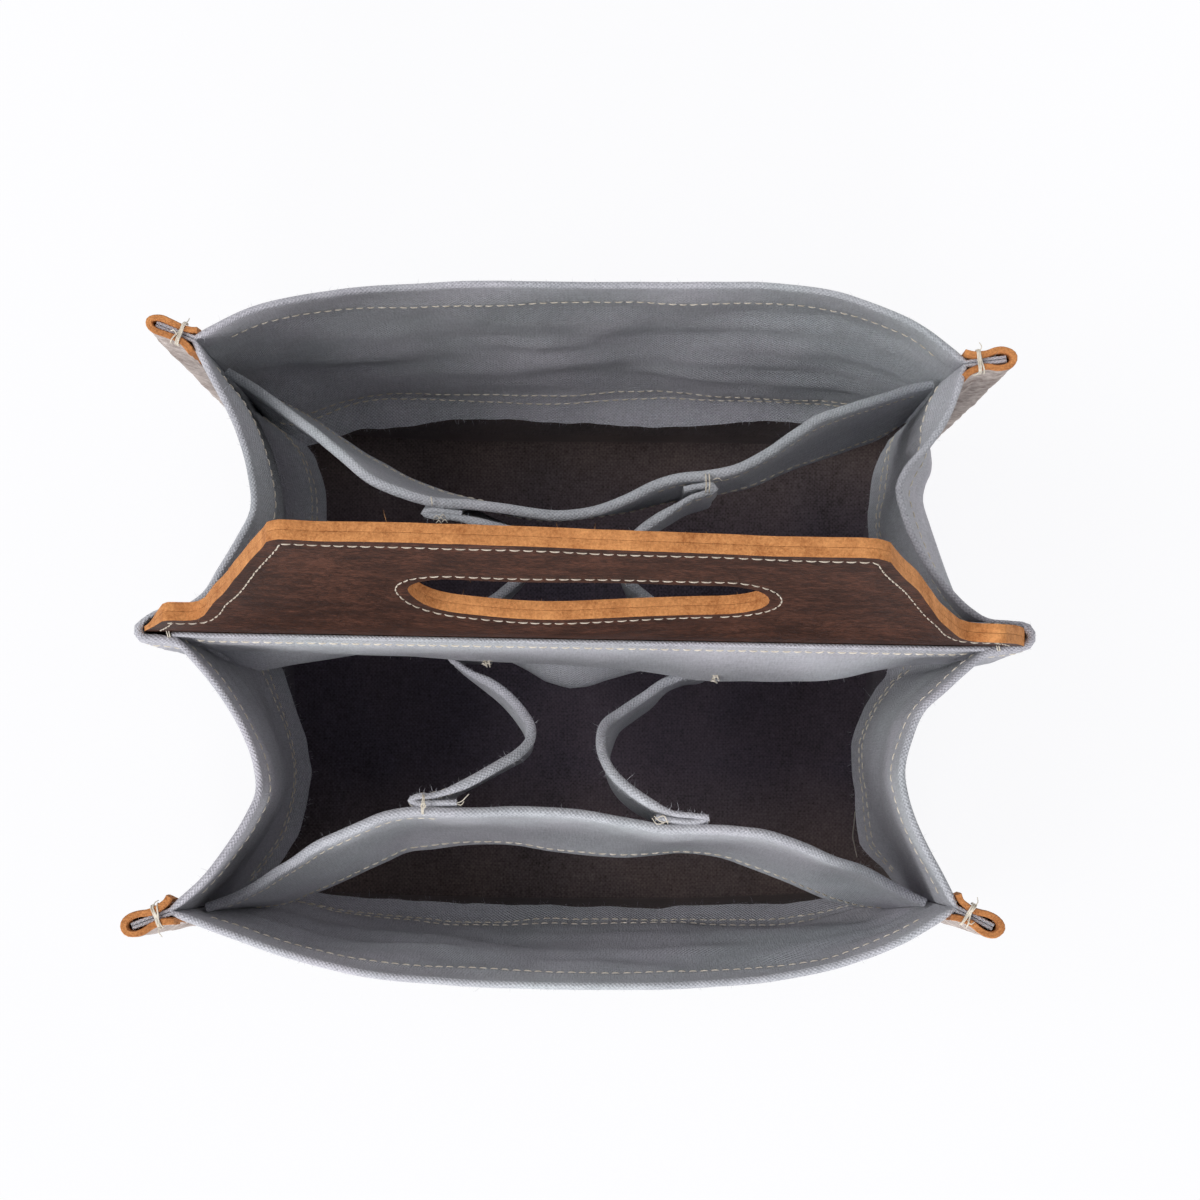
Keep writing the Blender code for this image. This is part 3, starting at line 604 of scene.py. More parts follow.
def front_share(z):
    return read_off([(0, 0), (RAW_EDGE, 0.2), (UPSTAND, 0.34), (100, 0.66), (RIM, 1.0)], z)


def low_share(z):
    """How much of a wall's sag near its lower edge there is at a height."""
    return smooth(z / 45) * (1 - smooth((z - STITCHED) / 30))


LEFT_SAG = [
    (-73, 0), (-60, 2.5), (-38, 3), (-20, 1), (-8, 0), (12, 0), (30, 5), (42, 9.5), (55, 10.5), (66, 9.5),
    (73, 6.5), (80, 0),
]
LEFT_SHELF = [(12, 0), (26, 3.6), (45, 4.2), (68, 3.6), (80, 0)]
RIGHT_SAG = [
    (-71, 0), (-63, 4.5), (-46, 3), (-30, 4.5), (-18, 3), (-7, 0), (5, 0), (15, -3), (36, -2.5), (50, 0),
    (60, 2.5), (67, 4.5), (72, 4.5), (77, 0),
]
RIGHT_SHELF = [(50, 0), (60, 3.6), (67, 4.8), (73, 3.6), (78, 0)]


def left_form(line, z):
    """The left panel sags inwards near its lower edge, and steps in below the rim of its back half."""
    shelf = read_off(LEFT_SHELF, line[:, 1]) * smooth((RIM - z) / 17) * smooth((z - 55) / 55)
    line[:, 0] += read_off(LEFT_SAG, line[:, 1]) * low_share(z) + shelf
    return line


def right_form(line, z):
    """The right panel sags inwards in its front half, and its back half swells out below the rim."""
    shelf = read_off(RIGHT_SHELF, line[:, 1]) * smooth((RIM - z) / 15) * smooth((z - 45) / 35)
    swell = 12.5 * np.sin(math.pi * np.clip((line[:, 1] - 3) / 57, 0, 1)) ** 0.7
    height = smooth((z - UPSTAND) / 57) if z < 115 else smooth((RIM - z) / 35)
    line[:, 0] += swell * height - read_off(RIGHT_SAG, line[:, 1]) * low_share(z) - shelf
    return line


def back_form(line, z):
    """The back wall comes forward near its lower left corner."""
    x = line[:, 0]
    line[:, 1] -= 8.0 * np.exp(-(((x + 97) / 17) ** 2)) * smooth((x + 112) / 8) * low_share(z)
    return line


def front_form(line, z):
    """The front wall has no sag of its own."""
    return line


def wall_levels(step=3.0):
    """Heights of a wall's rows, close together at the stepped lower edge of its hem."""
    top = RIM - 1.2
    hem = top - HEM
    plain = np.linspace(RAW_EDGE, hem - 1.2, int((hem - 1.2 - RAW_EDGE) / step) + 1)
    folded = np.linspace(hem + 0.4, top, int(HEM / step) + 2)
    return np.concatenate([plain, [hem - 0.5, hem - 0.1], folded])


LEVELS = wall_levels()


def wall_thickness(mid):
    """Outer and inner thickness: more in the hem, less in the fins, its own in the fold round the handle."""
    fin = smooth((from_ends(mid.shape[1]) - 6) / 3.0)
    x, y, z = np.abs(mid[..., 0]), np.abs(mid[..., 1]), mid[..., 2]
    hem = 0.1 + 1.15 * smooth((LEVELS[:, None] - (RIM - HEM - 0.6)) / 0.8)
    out = 0.5 + (CANVAS - 0.5) * fin
    inn = 0.5 * (1 - fin) + hem * fin
    wrap = smooth((x - 112) / 5) * smooth((z - 60) / 50) * smooth((16 - y) / 4)
    tip = smooth((x - 126.5) / 1.8) * wrap
    front = mid[..., 1] < np.where(mid[..., 0] < 0, 0.5, -3.4)
    front = front * smooth((x - 114) / 3) * smooth((128.5 - x) / 2)
    out = out * (1 - wrap) + (0.72 + 0.3 * tip) * wrap
    return out, inn * (1 - wrap) + (0.72 + 0.9 * tip + 1.2 * front) * wrap


def wrinkled(mid, seed, height):
    """Soft dents in a sheet, away from its seams and its rim."""
    calm = smooth((from_ends(mid.shape[1]) - 7) / 10)
    free = 0.35 + 0.65 * smooth((RIM - mid[..., 2]) / 30)
    squashed = mid * np.array([1.0, 1.0, 1.5])
    level = mid * np.array([0.3, 0.3, 1.5])
    dent = ripple(squashed, seed, 42, 2.6) + ripple(squashed, seed + 9, 17, 0.7)
    dent = dent + ripple(mid, seed + 5, 7, 0.2) + ripple(level, seed + 2, 14, 1.5)
    return mid + normals_of(mid)[0] * (dent * calm * free * height)[..., None]


def flared(z):
    """How far a wall leans in below its stitching at a height, as a share of its flare at the raw edge."""
    return np.maximum(0, (STITCHED - z) / (STITCHED - RAW_EDGE)) ** 1.2


def swollen(row, share=1.0):
    """A row of the dark cloth's outside, which swells here and there."""
    swell = np.maximum(ripple(row * np.array([1, 1, 1.4]), 21, 24, 0.5), 0) * share
    row[:, :2] += unit(row[:, :2]) * swell[:, None]
    return row


class Wall:
    """A wall: its plan lines, the seams at its ends, its side of their fins and its form at each height."""

    def __init__(self, plans, corners, layer, outward, share, form):
        self.top, self.base = plans
        self.corners, self.layer, self.share, self.form = corners, layer, share, form
        self.outward = np.array(outward, float)

    def surface(self, levels):
        """Rows of the middle surface, with its two fins."""
        plans = []
        for line, z in ((self.top, RIM), (self.base, 0.0)):
            start, end = (corner.at(z) + corner.side * self.layer * FIN_LAYER for corner in self.corners)
            plans.append([start, *line, end])
        top, base = paired(*plans)
        near = np.minimum(chord(top), chord(top)[::-1])
        w = smooth(near / 22)[:, None]
        rows = []
        for z in levels:
            moved = base + (top - base) * float(self.share(z))
            straight = base + (top - base) * (z / RIM)
            line = self.form(straight * (1 - w) + moved * w, float(z))
            first, last = (
                np.array([end + corner.along * s for s in np.linspace(FIN, 0.9, FIN_COLUMNS)])
                for corner, end in zip(self.corners, (line[0], line[-1]))
            )
            rows.append(at_height(np.concatenate([first, line, last[::-1]]), z))
        return np.array(rows)

    def plan(self, z, out, trim):
        """The plan line at a height without its fins, moved out by a distance, ending short of the seams."""
        mid = self.surface([z])[0][FIN_COLUMNS:-FIN_COLUMNS, :2]
        return (mid + outward_sides(mid) * out)[trim:-trim]

    def build(self, name, cad, seed, dents, flare):
        """The sheet itself. Its raw lower edge leans inwards below its stitching by up to the flare."""
        mid = wrinkled(self.surface(LEVELS), seed, dents)
        low = mid[0] * np.array([1, 1, 0])
        uneven = 1 + 0.4 * ripple(low, seed, 45, 1.0) + 0.16 * ripple(low, seed + 4, 8, 1.0)
        self.lean = flare * uneven * smooth((from_ends(mid.shape[1]) - 6) / 9)
        mid = mid - self.outward * (self.lean * flared(mid[..., 2]))[..., None]
        self.sheet = Sheet(name, mid, *wall_thickness(mid), self.outward, cad)

    def build_flap(self, name):
        """The part of the upstand that overlaps the wall's lower edge, in line with the rest below it."""
        rows = []
        for z in np.linspace(RAW_EDGE - 0.4, UPSTAND, 7):
            line, normal = self.sheet.line("outer", z, 0.0, 1.0)
            line = line + normal * (GAP + FLAP) + self.outward * (self.lean * flared(z))[:, None]
            line[:, 2] = z
            below = swollen(at_height(self.plan(z, 1.9, 1), z))
            t = smooth((z - RAW_EDGE) / 9)
            line[8:-8] = below * (1 - t) + line[8:-8] * t
            rows.append(line)
        mid = np.array(rows)[:, 5:-5]
        outward = (mid[0].mean(0) * np.array([1, 1, 0]))[None, None]
        self.flap = Sheet(name, mid, FLAP, FLAP, outward, material=DARK, slots="dark_canvas")


BACK = Wall((BACK_TOP, BACK_BASE), (BACK_LEFT, BACK_RIGHT), 1, (0, 1, 0), front_share, back_form)
FRONT = Wall((FRONT_TOP, FRONT_BASE), (FRONT_LEFT, FRONT_RIGHT), 1, (0, -1, 0), front_share, front_form)
LEFT = Wall((LEFT_TOP, LEFT_BASE), (BACK_LEFT, FRONT_LEFT), -1, (-1, 0, 0), side_share, left_form)
RIGHT = Wall((RIGHT_TOP, RIGHT_BASE), (BACK_RIGHT, FRONT_RIGHT), -1, (1, 0, 0), side_share, right_form)
WALLS = {"back": BACK, "front": FRONT, "left": LEFT, "right": RIGHT}
BACK.build("back_wall_cloth", "back_wall", 3, 1.1, 5.6)
FRONT.build("front_wall_cloth", "front_wall", 5, 1.0, 3.2)
LEFT.build("left_side_cloth", "left_side_panel", 8, 0.6, 4.0)
RIGHT.build("right_side_cloth", "right_side_panel", 12, 0.6, 2.5)

# Bottom: floor and outer upstand in one

UPSTAND_OUT = CANVAS + GAP
# In order round the bottom: a wall, the seam after it, the way its line runs and the way round the fin
ROUND_THE_BOTTOM = (
    (FRONT, FRONT_RIGHT, 1, 1),
    (RIGHT, BACK_RIGHT, -1, -1),
    (BACK, BACK_LEFT, -1, 1),
    (LEFT, FRONT_LEFT, 1, -1),
)
FLOOR = 1.7
FLOOR_SHARES = (0.985, 0.93, 0.84, 0.74, 0.62, 0.5, 0.37, 0.24, 0.12, 0.03)


def bottom_loop(z, out):
    """The upstand's plan loop at a height, along the walls and round the lower ends of the fins."""
    outside, inside = [], []
    for wall, corner, way, turn in ROUND_THE_BOTTOM:
        root = corner.at(z)
        tab = [corner.spot(z, s, w * turn) for s, w in ((2.5, 1.25), (FIN, 1.25), (FIN, -1.25), (2.5, -1.25))]
        outside += [wall.plan(z, out, 3)[::way], tab]
        inside += [wall.plan(z, UPSTAND_OUT - 0.1, 3)[::way], [root] * 4]
    return at_height(np.concatenate(outside), z), at_height(np.concatenate(inside), z)


def build_bottom():
    spec = [(0.0, UPSTAND_OUT + 0.3), (0.5, UPSTAND_OUT + 1.0), (1.6, UPSTAND_OUT + 1.3)]
    spec += [(z, UPSTAND_OUT + 1.3) for z in np.linspace(6, RAW_EDGE - 0.5, 12)]
    loops = [bottom_loop(z, out) for z, out in spec]
    rows = [swollen(outside, min(1, outside[0, 2] / 10)) for outside, _ in loops]
    inside = [loop for _, loop in loops]
    under = [rows[0] * np.array([s, s, 1]) for s in (0.02, 0.5)]
    floor = []
    for s in FLOOR_SHARES:
        ring = inside[2] * np.array([s, s, 1])
        ring[:, 2] = FLOOR + np.maximum(ripple(ring, 31, 34, 1.3), 0) * smooth((1 - s) / 0.1)
        floor.append(ring)
    upright = rows + inside[:2:-1]
    stack = under + upright + floor
    index = np.arange(sum(map(len, stack))).reshape(len(stack), -1)
    faces = ring_faces(index) + [index[0][::-1].tolist(), index[-1].tolist()]
    piece = to_object("bottom_cloth", np.concatenate(stack), faces, [DARK])
    flat = [ring[:, :2] for ring in under]
    flat += [np.column_stack([chord(ring), ring[:, 2]]) for ring in upright]
    flat += [ring[:, :2] for ring in floor]
    set_cloth(piece, at_height(np.concatenate(flat), 0.0))
    work = bmesh.new()
    work.from_mesh(piece.data)
    bmesh.ops.remove_doubles(work, verts=work.verts, dist=0.00001)
    bmesh.ops.triangulate(work, faces=[f for f in work.faces if len(f.verts) > 4])
    work.to_mesh(piece.data)
    work.free()
    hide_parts("bottom_panel")
    return piece


bottom = build_bottom()
for side, wall in WALLS.items():
    wall.build_flap(f"bottom_flap_{side}")

# Handle

# Outline of the handle's right half, x and height, from below the rim to the top
HALF_EDGE = [
    (123, -28), (126.3, -14), (126.3, -2), (124.8, 2.5), (122.3, 8.5), (119.3, 15.5), (117, 20.6),
    (115.8, 21.3), (113.4, 20.4), (110, 18.8), (108, 18.6), (105, 22.5), (100.7, 33.7), (97.5, 40.6),
    (88.3, 65.3), (80.3, 85.7), (78.8, 90.2), (76, 92.8), (71, 93.4),
]


def handle_line(x):
    """Middle of the handle's thickness at the rim."""
    return -0.2 - 0.018 * x


def lean_at(x):
    degrees = 10.3 - 0.01 * x - 11.5 * smooth((x - 88) / 26) - 6.0 * smooth((-x - 98) / 22)
    return np.radians(np.where(np.abs(degrees) < 0.1, 0.1, degrees))


def handle_place(x, across, up):
    """A point of the bent handle, which leans back less at its feet and bulges forward below the slot."""
    x, across, up = (np.asarray(v, float) for v in (x, across, up))
    across = across - (across + LAYER) * 0.72 * smooth((-x - 115.5) / 9.5)
    radius = BEND / lean_at(x)
    turn = np.clip(up, 0, BEND) / radius
    straight = up - radius * turn
    y = radius * (1 - np.cos(turn)) + straight * np.sin(turn) + across * np.cos(turn)
    z = radius * np.sin(turn) + straight * np.cos(turn) - across * np.sin(turn)
    y = y - 3.4 * np.exp(-(((x + 12) / 30) ** 2)) * smooth(up / 24) * (1 - smooth((up - 37) / 11))
    return np.stack([x, handle_line(x) + y, RIM + z], -1)


def dent_at(x, up):
    """How far the leather is dented here, the same on both faces."""
    return noise_at(x / 38, up / 30, 2.0) * min(1.0, max(0.0, up / 20))


def on_handle(points, across, shift=0.0):
    """Points of the handle from x and height, this far across its thickness. A shift keeps their dents."""
    dents = np.array([dent_at(x, up) for x, up in points])
    moved = points + shift
    return handle_place(moved[:, 0], across + dents, moved[:, 1])


def over_handle(half, top):
    """The line over the handle: up one end, along the top and down the other end."""
    return np.concatenate([half, at_height(top, HANDLE_TOP), half[::-1] * np.array([-1, 1])])


def reached(loop):
    """A line round the handle, with a little more reach at the right foot."""
    loop[:, 0] += 2.0 * smooth((loop[:, 0] - 90) / 30)
    return loop


def handle_outline():
    over = over_handle(resample(np.array(HALF_EDGE, float), 2.2), np.linspace(66, -66, 34))
    loop = np.concatenate([over, at_height(np.linspace(-117, 117, 40), HANDLE_FOOT)])
    wave = np.array([noise_at(x * 0.09, up * 0.09, 4.0) for x, up in loop])
    loop[:, 1] += np.where(loop[:, 1] > 30, wave * 0.7, 0)
    return reached(loop)


def slot_outline(grow=0.0, steps=16):
    radius = SLOT_RADIUS + grow
    turns = np.linspace(-math.pi / 2, math.pi / 2, steps)
    half = [(SLOT_REACH + radius * math.cos(turn), radius * math.sin(turn)) for turn in turns]
    half += [(x, radius) for x in np.linspace(SLOT_STRAIGHT, -SLOT_STRAIGHT, 24)[1:-1]]
    return np.array(SLOT_CENTRE) + np.concatenate([half, np.negative(half)])


def handle_layer(name, cad, low, high, seed):
    """One layer of leather, with softened edges, the grain on its outside and raw edges."""
    work = bmesh.new()
    loops = []
    for outline in (handle_outline(), slot_outline()):
        ring = [work.verts.new((x, 0, up)) for x, up in outline]
        loops += [work.edges.new((a, b)) for a, b in zip(ring, ring[1:] + ring[:1])]
    bmesh.ops.triangle_fill(work, use_beauty=True, edges=loops)
    cuts = [((0, 0, level), (0, 0, 1)) for level in (-20, -14, -8, *range(0, 94, 4))]
    cuts += [((level, 0, 0), (1, 0, 0)) for level in range(-120, 125, 4)]
    for spot, way in cuts:
        everything = work.verts[:] + work.edges[:] + work.faces[:]
        bmesh.ops.bisect_plane(work, geom=everything, plane_co=Vector(spot), plane_no=Vector(way))
    bmesh.ops.remove_doubles(work, verts=work.verts, dist=0.02)
    extruded = bmesh.ops.extrude_face_region(work, geom=work.faces[:], use_keep_orig=True)
    raised = {g for g in extruded["geom"] if isinstance(g, bmesh.types.BMVert)}
    for v in work.verts:
        v.co.y = high if v in raised else low
    work.normal_update()
    bmesh.ops.recalc_face_normals(work, faces=work.faces)
    for f in work.faces:
        f.material_index = 1 if abs(f.normal.y) < 0.5 else 0
    pairs = [(e, [f.material_index for f in e.link_faces]) for e in work.edges]
    sharp = [e for e, sides in pairs if len(sides) == 2 and sides[0] != sides[1]]
    rounded = {"offset": 0.9, "segments": 3, "profile": 0.55, "affect": "EDGES", "clamp_overlap": True}
    for f in bmesh.ops.bevel(work, geom=sharp, **rounded)["faces"]:
        f.material_index = 1
    inner = min(low, high, key=abs)
    for f in work.faces:
        if abs(f.calc_center_median().y - inner) < 0.2:
            f.material_index = 1
    for v in work.verts:
        x, y, up = v.co
        rough = noise_at(x * 0.35, up * 0.35, seed) * 0.35 + noise_at(x * 1.1, up * 1.1, seed + y) * 0.2
        v.co = Vector(handle_place(x, y + dent_at(x, up), up)) * MM
        if 0.2 < (y - low) / (high - low) < 0.8:
            v.co += v.normal * rough * MM
    mesh = bpy.data.meshes.new(name)
    work.to_mesh(mesh)
    work.free()
    piece = add_piece(name, mesh, [FACE, CUT], 50)
    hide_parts(cad)


handle_layer("handle_leather_front", "handle_front_leather", -LAYER, -0.05, 1.0)
handle_layer("handle_leather_back", "handle_back_leather", 0.05, LAYER, 8.0)

# Centre bands and the folded strip below them

# How far the bands' feet and the divider's belly stand off, by x
BAND_FRONT_AWAY = [
    (-116, 4.9), (-98, 5.2), (-80, 5.8), (-51, 6.4), (-22, 7.3), (0, 8.4), (12, 9.2), (20, 9.3),
    (30, 11.2), (36, 12.1), (54, 12.1), (75, 11.6), (96, 6.3), (112, 5),
]
BAND_BACK_AWAY = [(-112, 5.0), (-80, 6.5), (0, 7.5), (80, 6.5), (112, 5.0)]
BELLY = [
    (-112, 3), (-104, 8.5), (-99, 9.8), (-88, 7.4), (-75, 4.8), (-60, 1.6), (-35, 2), (-24, 4),
    (-18, 7.3), (-11, 11.6), (-4, 13.5), (2, 12.8), (6.6, 11), (14, 8.7), (20, 7), (40, 6), (70, 5),
    (95, 2.5), (112, 0),
]


def band_mid(sign, away_below):
    """A band lies on the leather at its top, on the folded strip below that, and stands off at its foot."""
    x = np.linspace(-118, 118, 120)
    squeezed = smooth((np.abs(x) - 108) / 7)
    below = np.convolve(np.pad(read_off(away_below, x), 4, mode="edge"), np.ones(9) / 9, mode="valid")
    on_strip = LAYER + 1.55 + BAND
    rows = []
    for z in [*np.linspace(116, 136, 9), *np.linspace(138, 144, 3), 146, 148, RIM - 0.8]:
        away = on_strip + (np.maximum(below - BAND, on_strip) - on_strip) * ((144 - min(z, 144)) / 28)
        away = away - (1.35 if z >= 148 else 0.75 if z > 144 else 0.0)
        away = away + (LAYER + BAND + 0.05 - away) * squeezed
        rows.append(at_height(np.column_stack([x, handle_line(x) + sign * away]), z))
    mid = np.array(rows)
    wave = ripple(mid, 40 + sign, 26, 0.8) * smooth((RIM - 10 - mid[..., 2]) / 22)
    mid[..., 1] += sign * np.abs(wave)
    foot = np.broadcast_to(mid[:1] * np.array([1, 1, 0]), mid.shape)
    mid[..., 2] += ripple(foot, 44 + sign, 16, 1.4) * smooth((RIM - 8 - mid[..., 2]) / 24)
    return mid


def divider_mid():
    """Cross-section from the back leg's top, round the fold at the bottom, to the front leg's top."""
    leg = [(3.45, 145), (3.45, 134), (3.45, 122), (2.9, 112), (1.9, 104), (1.3, 101.6)]
    section = leg + [(0, 100.5)] + [(-y, z) for y, z in reversed(leg)]
    x = np.linspace(-112, 112, 90)
    rows = []
    for y, z in curve_through(section, 2.0):
        belly = read_off(BELLY, x) * max(0.0, (124 - z) / 23.5) ** 1.5
        rows.append(at_height(np.column_stack([x, handle_line(x) + y - belly]), z))
    return np.array(rows)


FORWARD, BACKWARD, DOWNWARD = np.array([0, -1.0, 0]), np.array([0, 1.0, 0]), np.array([0, 0, -1.0])
bands = [
    Sheet("centre_band_front_cloth", band_mid(-1, BAND_FRONT_AWAY), BAND, BAND, FORWARD, "centre_band_front"),
    Sheet("centre_band_back_cloth", band_mid(1, BAND_BACK_AWAY), BAND, BAND, BACKWARD, "centre_band_back"),
]
divider = Sheet(
    "centre_divider_cloth", divider_mid(), DIVIDER, DIVIDER, DOWNWARD, "centre_divider", ROUND_EDGE
)

# Divider strips, from plan lines of their upper and lower edges

FRONT_STRIP_TOP = [
    (-107, -79.8), (-94.8, -75.6), (-85, -69.2), (-75.2, -62.8), (-65.5, -57.8), (-54.6, -52.9),
    (-48, -51.9), (-38, -52.3), (-24, -51.9), (-6, -52.2), (4.4, -53.3), (14.7, -55.8), (25, -57.6),
    (31, -57.5), (44.7, -57.9), (54.3, -59.5), (62.6, -62), (70.8, -65.2), (79, -67.9), (87.3, -72.4),
    (95.5, -77), (98.5, -78.4),
]
FRONT_STRIP_LOW = [
    (-103, -80.5), (-91.3, -79.2), (-83.9, -76.6), (-73.4, -72.4), (-63, -68), (-52.3, -63), (-32, -61),
    (-20, -61.6), (-7, -63.5), (10, -65), (18, -65.2), (31, -64.2), (44.3, -66.8), (53.2, -70.1),
    (62, -73.2), (70.9, -76.7), (79.7, -79.2), (88.5, -80.3), (94, -80.6),
]
BACK_STRIP_TOP = [
    (-103.3, 75.2), (-94.1, 69.4), (-85.5, 62.8), (-76.9, 56.2), (-68.4, 49.6), (-60, 43.6),
    (-52.2, 39.8), (-47.6, 37.9), (-43, 36.6), (-33.6, 35.8), (-19.6, 34.6), (-6.6, 33.6), (5.5, 35.3),
    (13.6, 38.2), (21.7, 41.4), (29.9, 43.3), (36.4, 44.1), (45.4, 46.7), (53.5, 51), (61.6, 56),
    (69.7, 60.9), (77.9, 64.7), (86.1, 67.8), (94.2, 69.9), (102.5, 71.6),
]
BACK_STRIP_LOW = [
    (-100, 76.5), (-83, 67), (-66, 57), (-61.2, 54.3), (-50.3, 49), (-42.2, 45.9), (-24, 41), (-4, 39),
    (12, 41), (28, 44.5), (48.8, 47.5), (65.7, 55.2), (83.1, 60.5), (94.3, 64.5), (99, 68.5),
]
STRIP_HALF = 1.5


def lowered(points, drop):
    """Points let down by a drop, along the line from the camera through each."""
    down = (EYE[2] - points[..., 2] + drop) / (EYE[2] - points[..., 2])
    return EYE + (points - EYE) * down[..., None]


def strip_mid(top, low, seed):
    """A strip between its two edges' plan lines, let down towards its ends."""
    top, low = np.array(top, float), np.array(low, float)
    narrowed = top[:, 0] * np.where(top[:, 0] < 0, low[0, 0] / top[0, 0], low[-1, 0] / top[-1, 0])
    line_top, line_low = paired(top, np.column_stack([narrowed, read_off(low, narrowed)]))
    columns = len(line_top)
    drop = 33.0 * smooth((np.abs(np.linspace(-1, 1, columns)) - 0.5) / 0.55) ** 1.2
    rows = []
    for z in [*np.linspace(RIM - STRIP, RIM - 12, 11), *np.linspace(RIM - 9, RIM - STRIP_HALF, 5)]:
        t = (z - (RIM - STRIP)) / STRIP
        t = t + 0.12 * math.sin(math.pi * t)
        rows.append(lowered(at_height(line_low + (line_top - line_low) * t, z), drop * (0.8 + 0.2 * t)))
    mid = np.array(rows)
    dent = (ripple(mid, seed, 30, 1.3) + ripple(mid, seed + 3, 10, 0.3)) * smooth(from_ends(columns) / 8)
    return mid + normals_of(mid)[0] * dent[..., None]


def rolled(mid, thin, thick, reach=4.0, first=0.0, last=1.0):
    """Half a thickness: more in the rolled hem of the upper edge, between two shares of its length."""
    below = np.linalg.norm(mid - mid[-1:], axis=2)
    far = np.linspace(0, 1, mid.shape[1])
    part = smooth((far - first) / 0.08 + 0.5) * smooth((last - far) / 0.08 + 0.5)
    return thin + (thick - thin) * smooth((reach + 1.2 - below) / 1.8) * part


def build_strip(side, top, low, seed, outward):
    mid = strip_mid(top, low, seed)
    half = rolled(mid, 1.15, STRIP_HALF)
    return Sheet(f"{side}_strip_cloth", mid, half, half, outward, f"{side}_divider_strip", ROUND_EDGE)


strip_front = build_strip("front", FRONT_STRIP_TOP, FRONT_STRIP_LOW, 50, FORWARD)
strip_back = build_strip("back", BACK_STRIP_TOP, BACK_STRIP_LOW, 55, BACKWARD)

# Cross dividers, each from the centre to a strip, with a tab folded back at each end. A row of the table is a
# point of the upper edge, x, y and z, and how far to one side the lower edge lies from it, x and y
CROSS_DROP = 46.0
CROSSES = {
    "front_left": [
        (-29, -5, 115.2, 0, 1), (-35, -5.1, 115.2, 0, 1), (-38.6, -5.4, 115.3, 0, 1),
        (-39.8, -6.4, 115.4, 0, 1), (-38.3, -7.5, 115.5, -0.5, 1), (-33.6, -10.7, 117, -1.5, 0.8),
        (-27.8, -14, 119.5, -2.5, 0), (-22.1, -17.9, 123, -3, -0.5), (-17.3, -22.9, 128.5, -3, -1),
        (-15.1, -27.6, 134, -2, -1), (-15.6, -31.9, 138.5, -0.5, -0.6), (-18.6, -35.6, 142, 0.3, -0.2),
        (-23.9, -39.3, 145.5, 0.3, 0.3), (-30, -42.8, 148, 0.2, 0.6), (-36.1, -45.6, 149.3, 0.2, 0),
        (-43.2, -47.7, 149.6, 0, -2), (-47.4, -48.1, 149.6, 0, -3), (-49.1, -49.2, 149.6, 0, -3),
        (-47.2, -50.2, 149.6, 0, -3), (-42, -50.3, 149.6, 0, -3), (-35.6, -50, 149.6, 0, -3),
    ],
    "front_right": [
        (26, -7.9, 115.2, 0, 1), (33, -8, 115.2, 0, 1), (38.4, -8.3, 115.2, 0, 1),
        (40, -9.4, 115.3, 0, 1), (38.2, -10.5, 115.4, 0.5, 0.8), (30.9, -11.8, 116, 1, 0.5),
        (25.2, -13.5, 117.5, 1.5, 0), (18.7, -17.8, 120.5, 2.5, -1), (12.1, -22.2, 125, 3.5, -1),
        (7, -26.6, 130.5, 4, -0.5), (5.8, -31.4, 136, 3, 0), (6.5, -36, 141, 1, 0),
        (9.2, -41.1, 145, -0.8, -0.8), (13.7, -45.9, 148, -2, -1.5), (19, -49.6, 149.3, -2, -2.5),
        (26.1, -52.6, 149.6, -1, -3), (33, -53.5, 149.6, 0, -3), (36.9, -54.2, 149.6, 0, -3),
        (34.8, -55.2, 149.6, 0, -3), (27, -55.3, 149.6, 0, -3), (21.6, -54, 149.6, 0, -3),
    ],
    "back_left": [
        (-29, 5.1, 115.2, 0, 0), (-36, 5.2, 115.2, 0, 0), (-39.8, 5.6, 115.3, 0, 0),
        (-40.6, 6.8, 115.4, 0, 0), (-37.5, 7.9, 115.6, 0, 0), (-30, 9.9, 118, -1, 0.5),
        (-21.5, 14.5, 125, -2, 1), (-15.8, 19.5, 133, -2, 2), (-14.8, 24, 141, -2, 4),
        (-19, 28, 146.5, -2, 6), (-27.1, 30.3, 149, -1, 7.5), (-33.6, 31.7, 149.6, 0, 8.5),
        (-41, 32.3, 149.6, 0, 8.8), (-44, 32.7, 149.6, 0, 8.8), (-45.7, 33.6, 149.6, 0, 8.8),
        (-43.8, 34.3, 149.6, 0, 8.8), (-39, 34.1, 149.6, 0, 8.8), (-34.6, 33.4, 149.6, 0, 8.8),
    ],
    "back_right": [
        (27, 2.6, 115.2, 0, -2), (33, 2.7, 115.2, 0, -2), (37.3, 3, 115.3, 0, -2),
        (38.4, 4.2, 115.4, 0, -2), (35, 5.4, 115.6, 0.5, -1), (27, 7.6, 118, 1, -1),
        (18, 12.5, 125, 1, -1), (12.5, 18.5, 133, 1, -1), (12.8, 24.5, 140, 0, 0),
        (16.5, 28.6, 145, 0, 1), (21.7, 32.3, 147.8, 0, 1.5), (26.5, 35.2, 149, 0, 1.5),
        (32.3, 38.4, 149.6, 0, 1.5), (36.8, 39.7, 149.6, 0, 1.5), (38.9, 40.6, 149.6, 0, 1.5),
        (38.2, 41.7, 149.6, 0, 1.5), (34.5, 41.6, 149.6, 0, 1.5), (29.9, 40.6, 149.6, 0, 1.5),
    ],
}


def cross_mid(table, seed):
    top = np.array(table, float)[:, :3]
    low = top + at_height(np.array(table, float)[:, 3:], -CROSS_DROP)
    knots = chord(top)
    at = np.linspace(0, knots[-1], int(knots[-1] / 0.8))
    a, b = hermite(top, knots, at), hermite(low, knots, at)
    shares = [*np.linspace(0, 0.8, 11), 0.85, 0.885, 0.91, 0.935, 0.96, 0.98]
    mid = np.array([b + (a - b) * t for t in shares])
    return mid + normals_of(mid)[0] * ripple(mid, seed, 16, 0.6)[..., None]


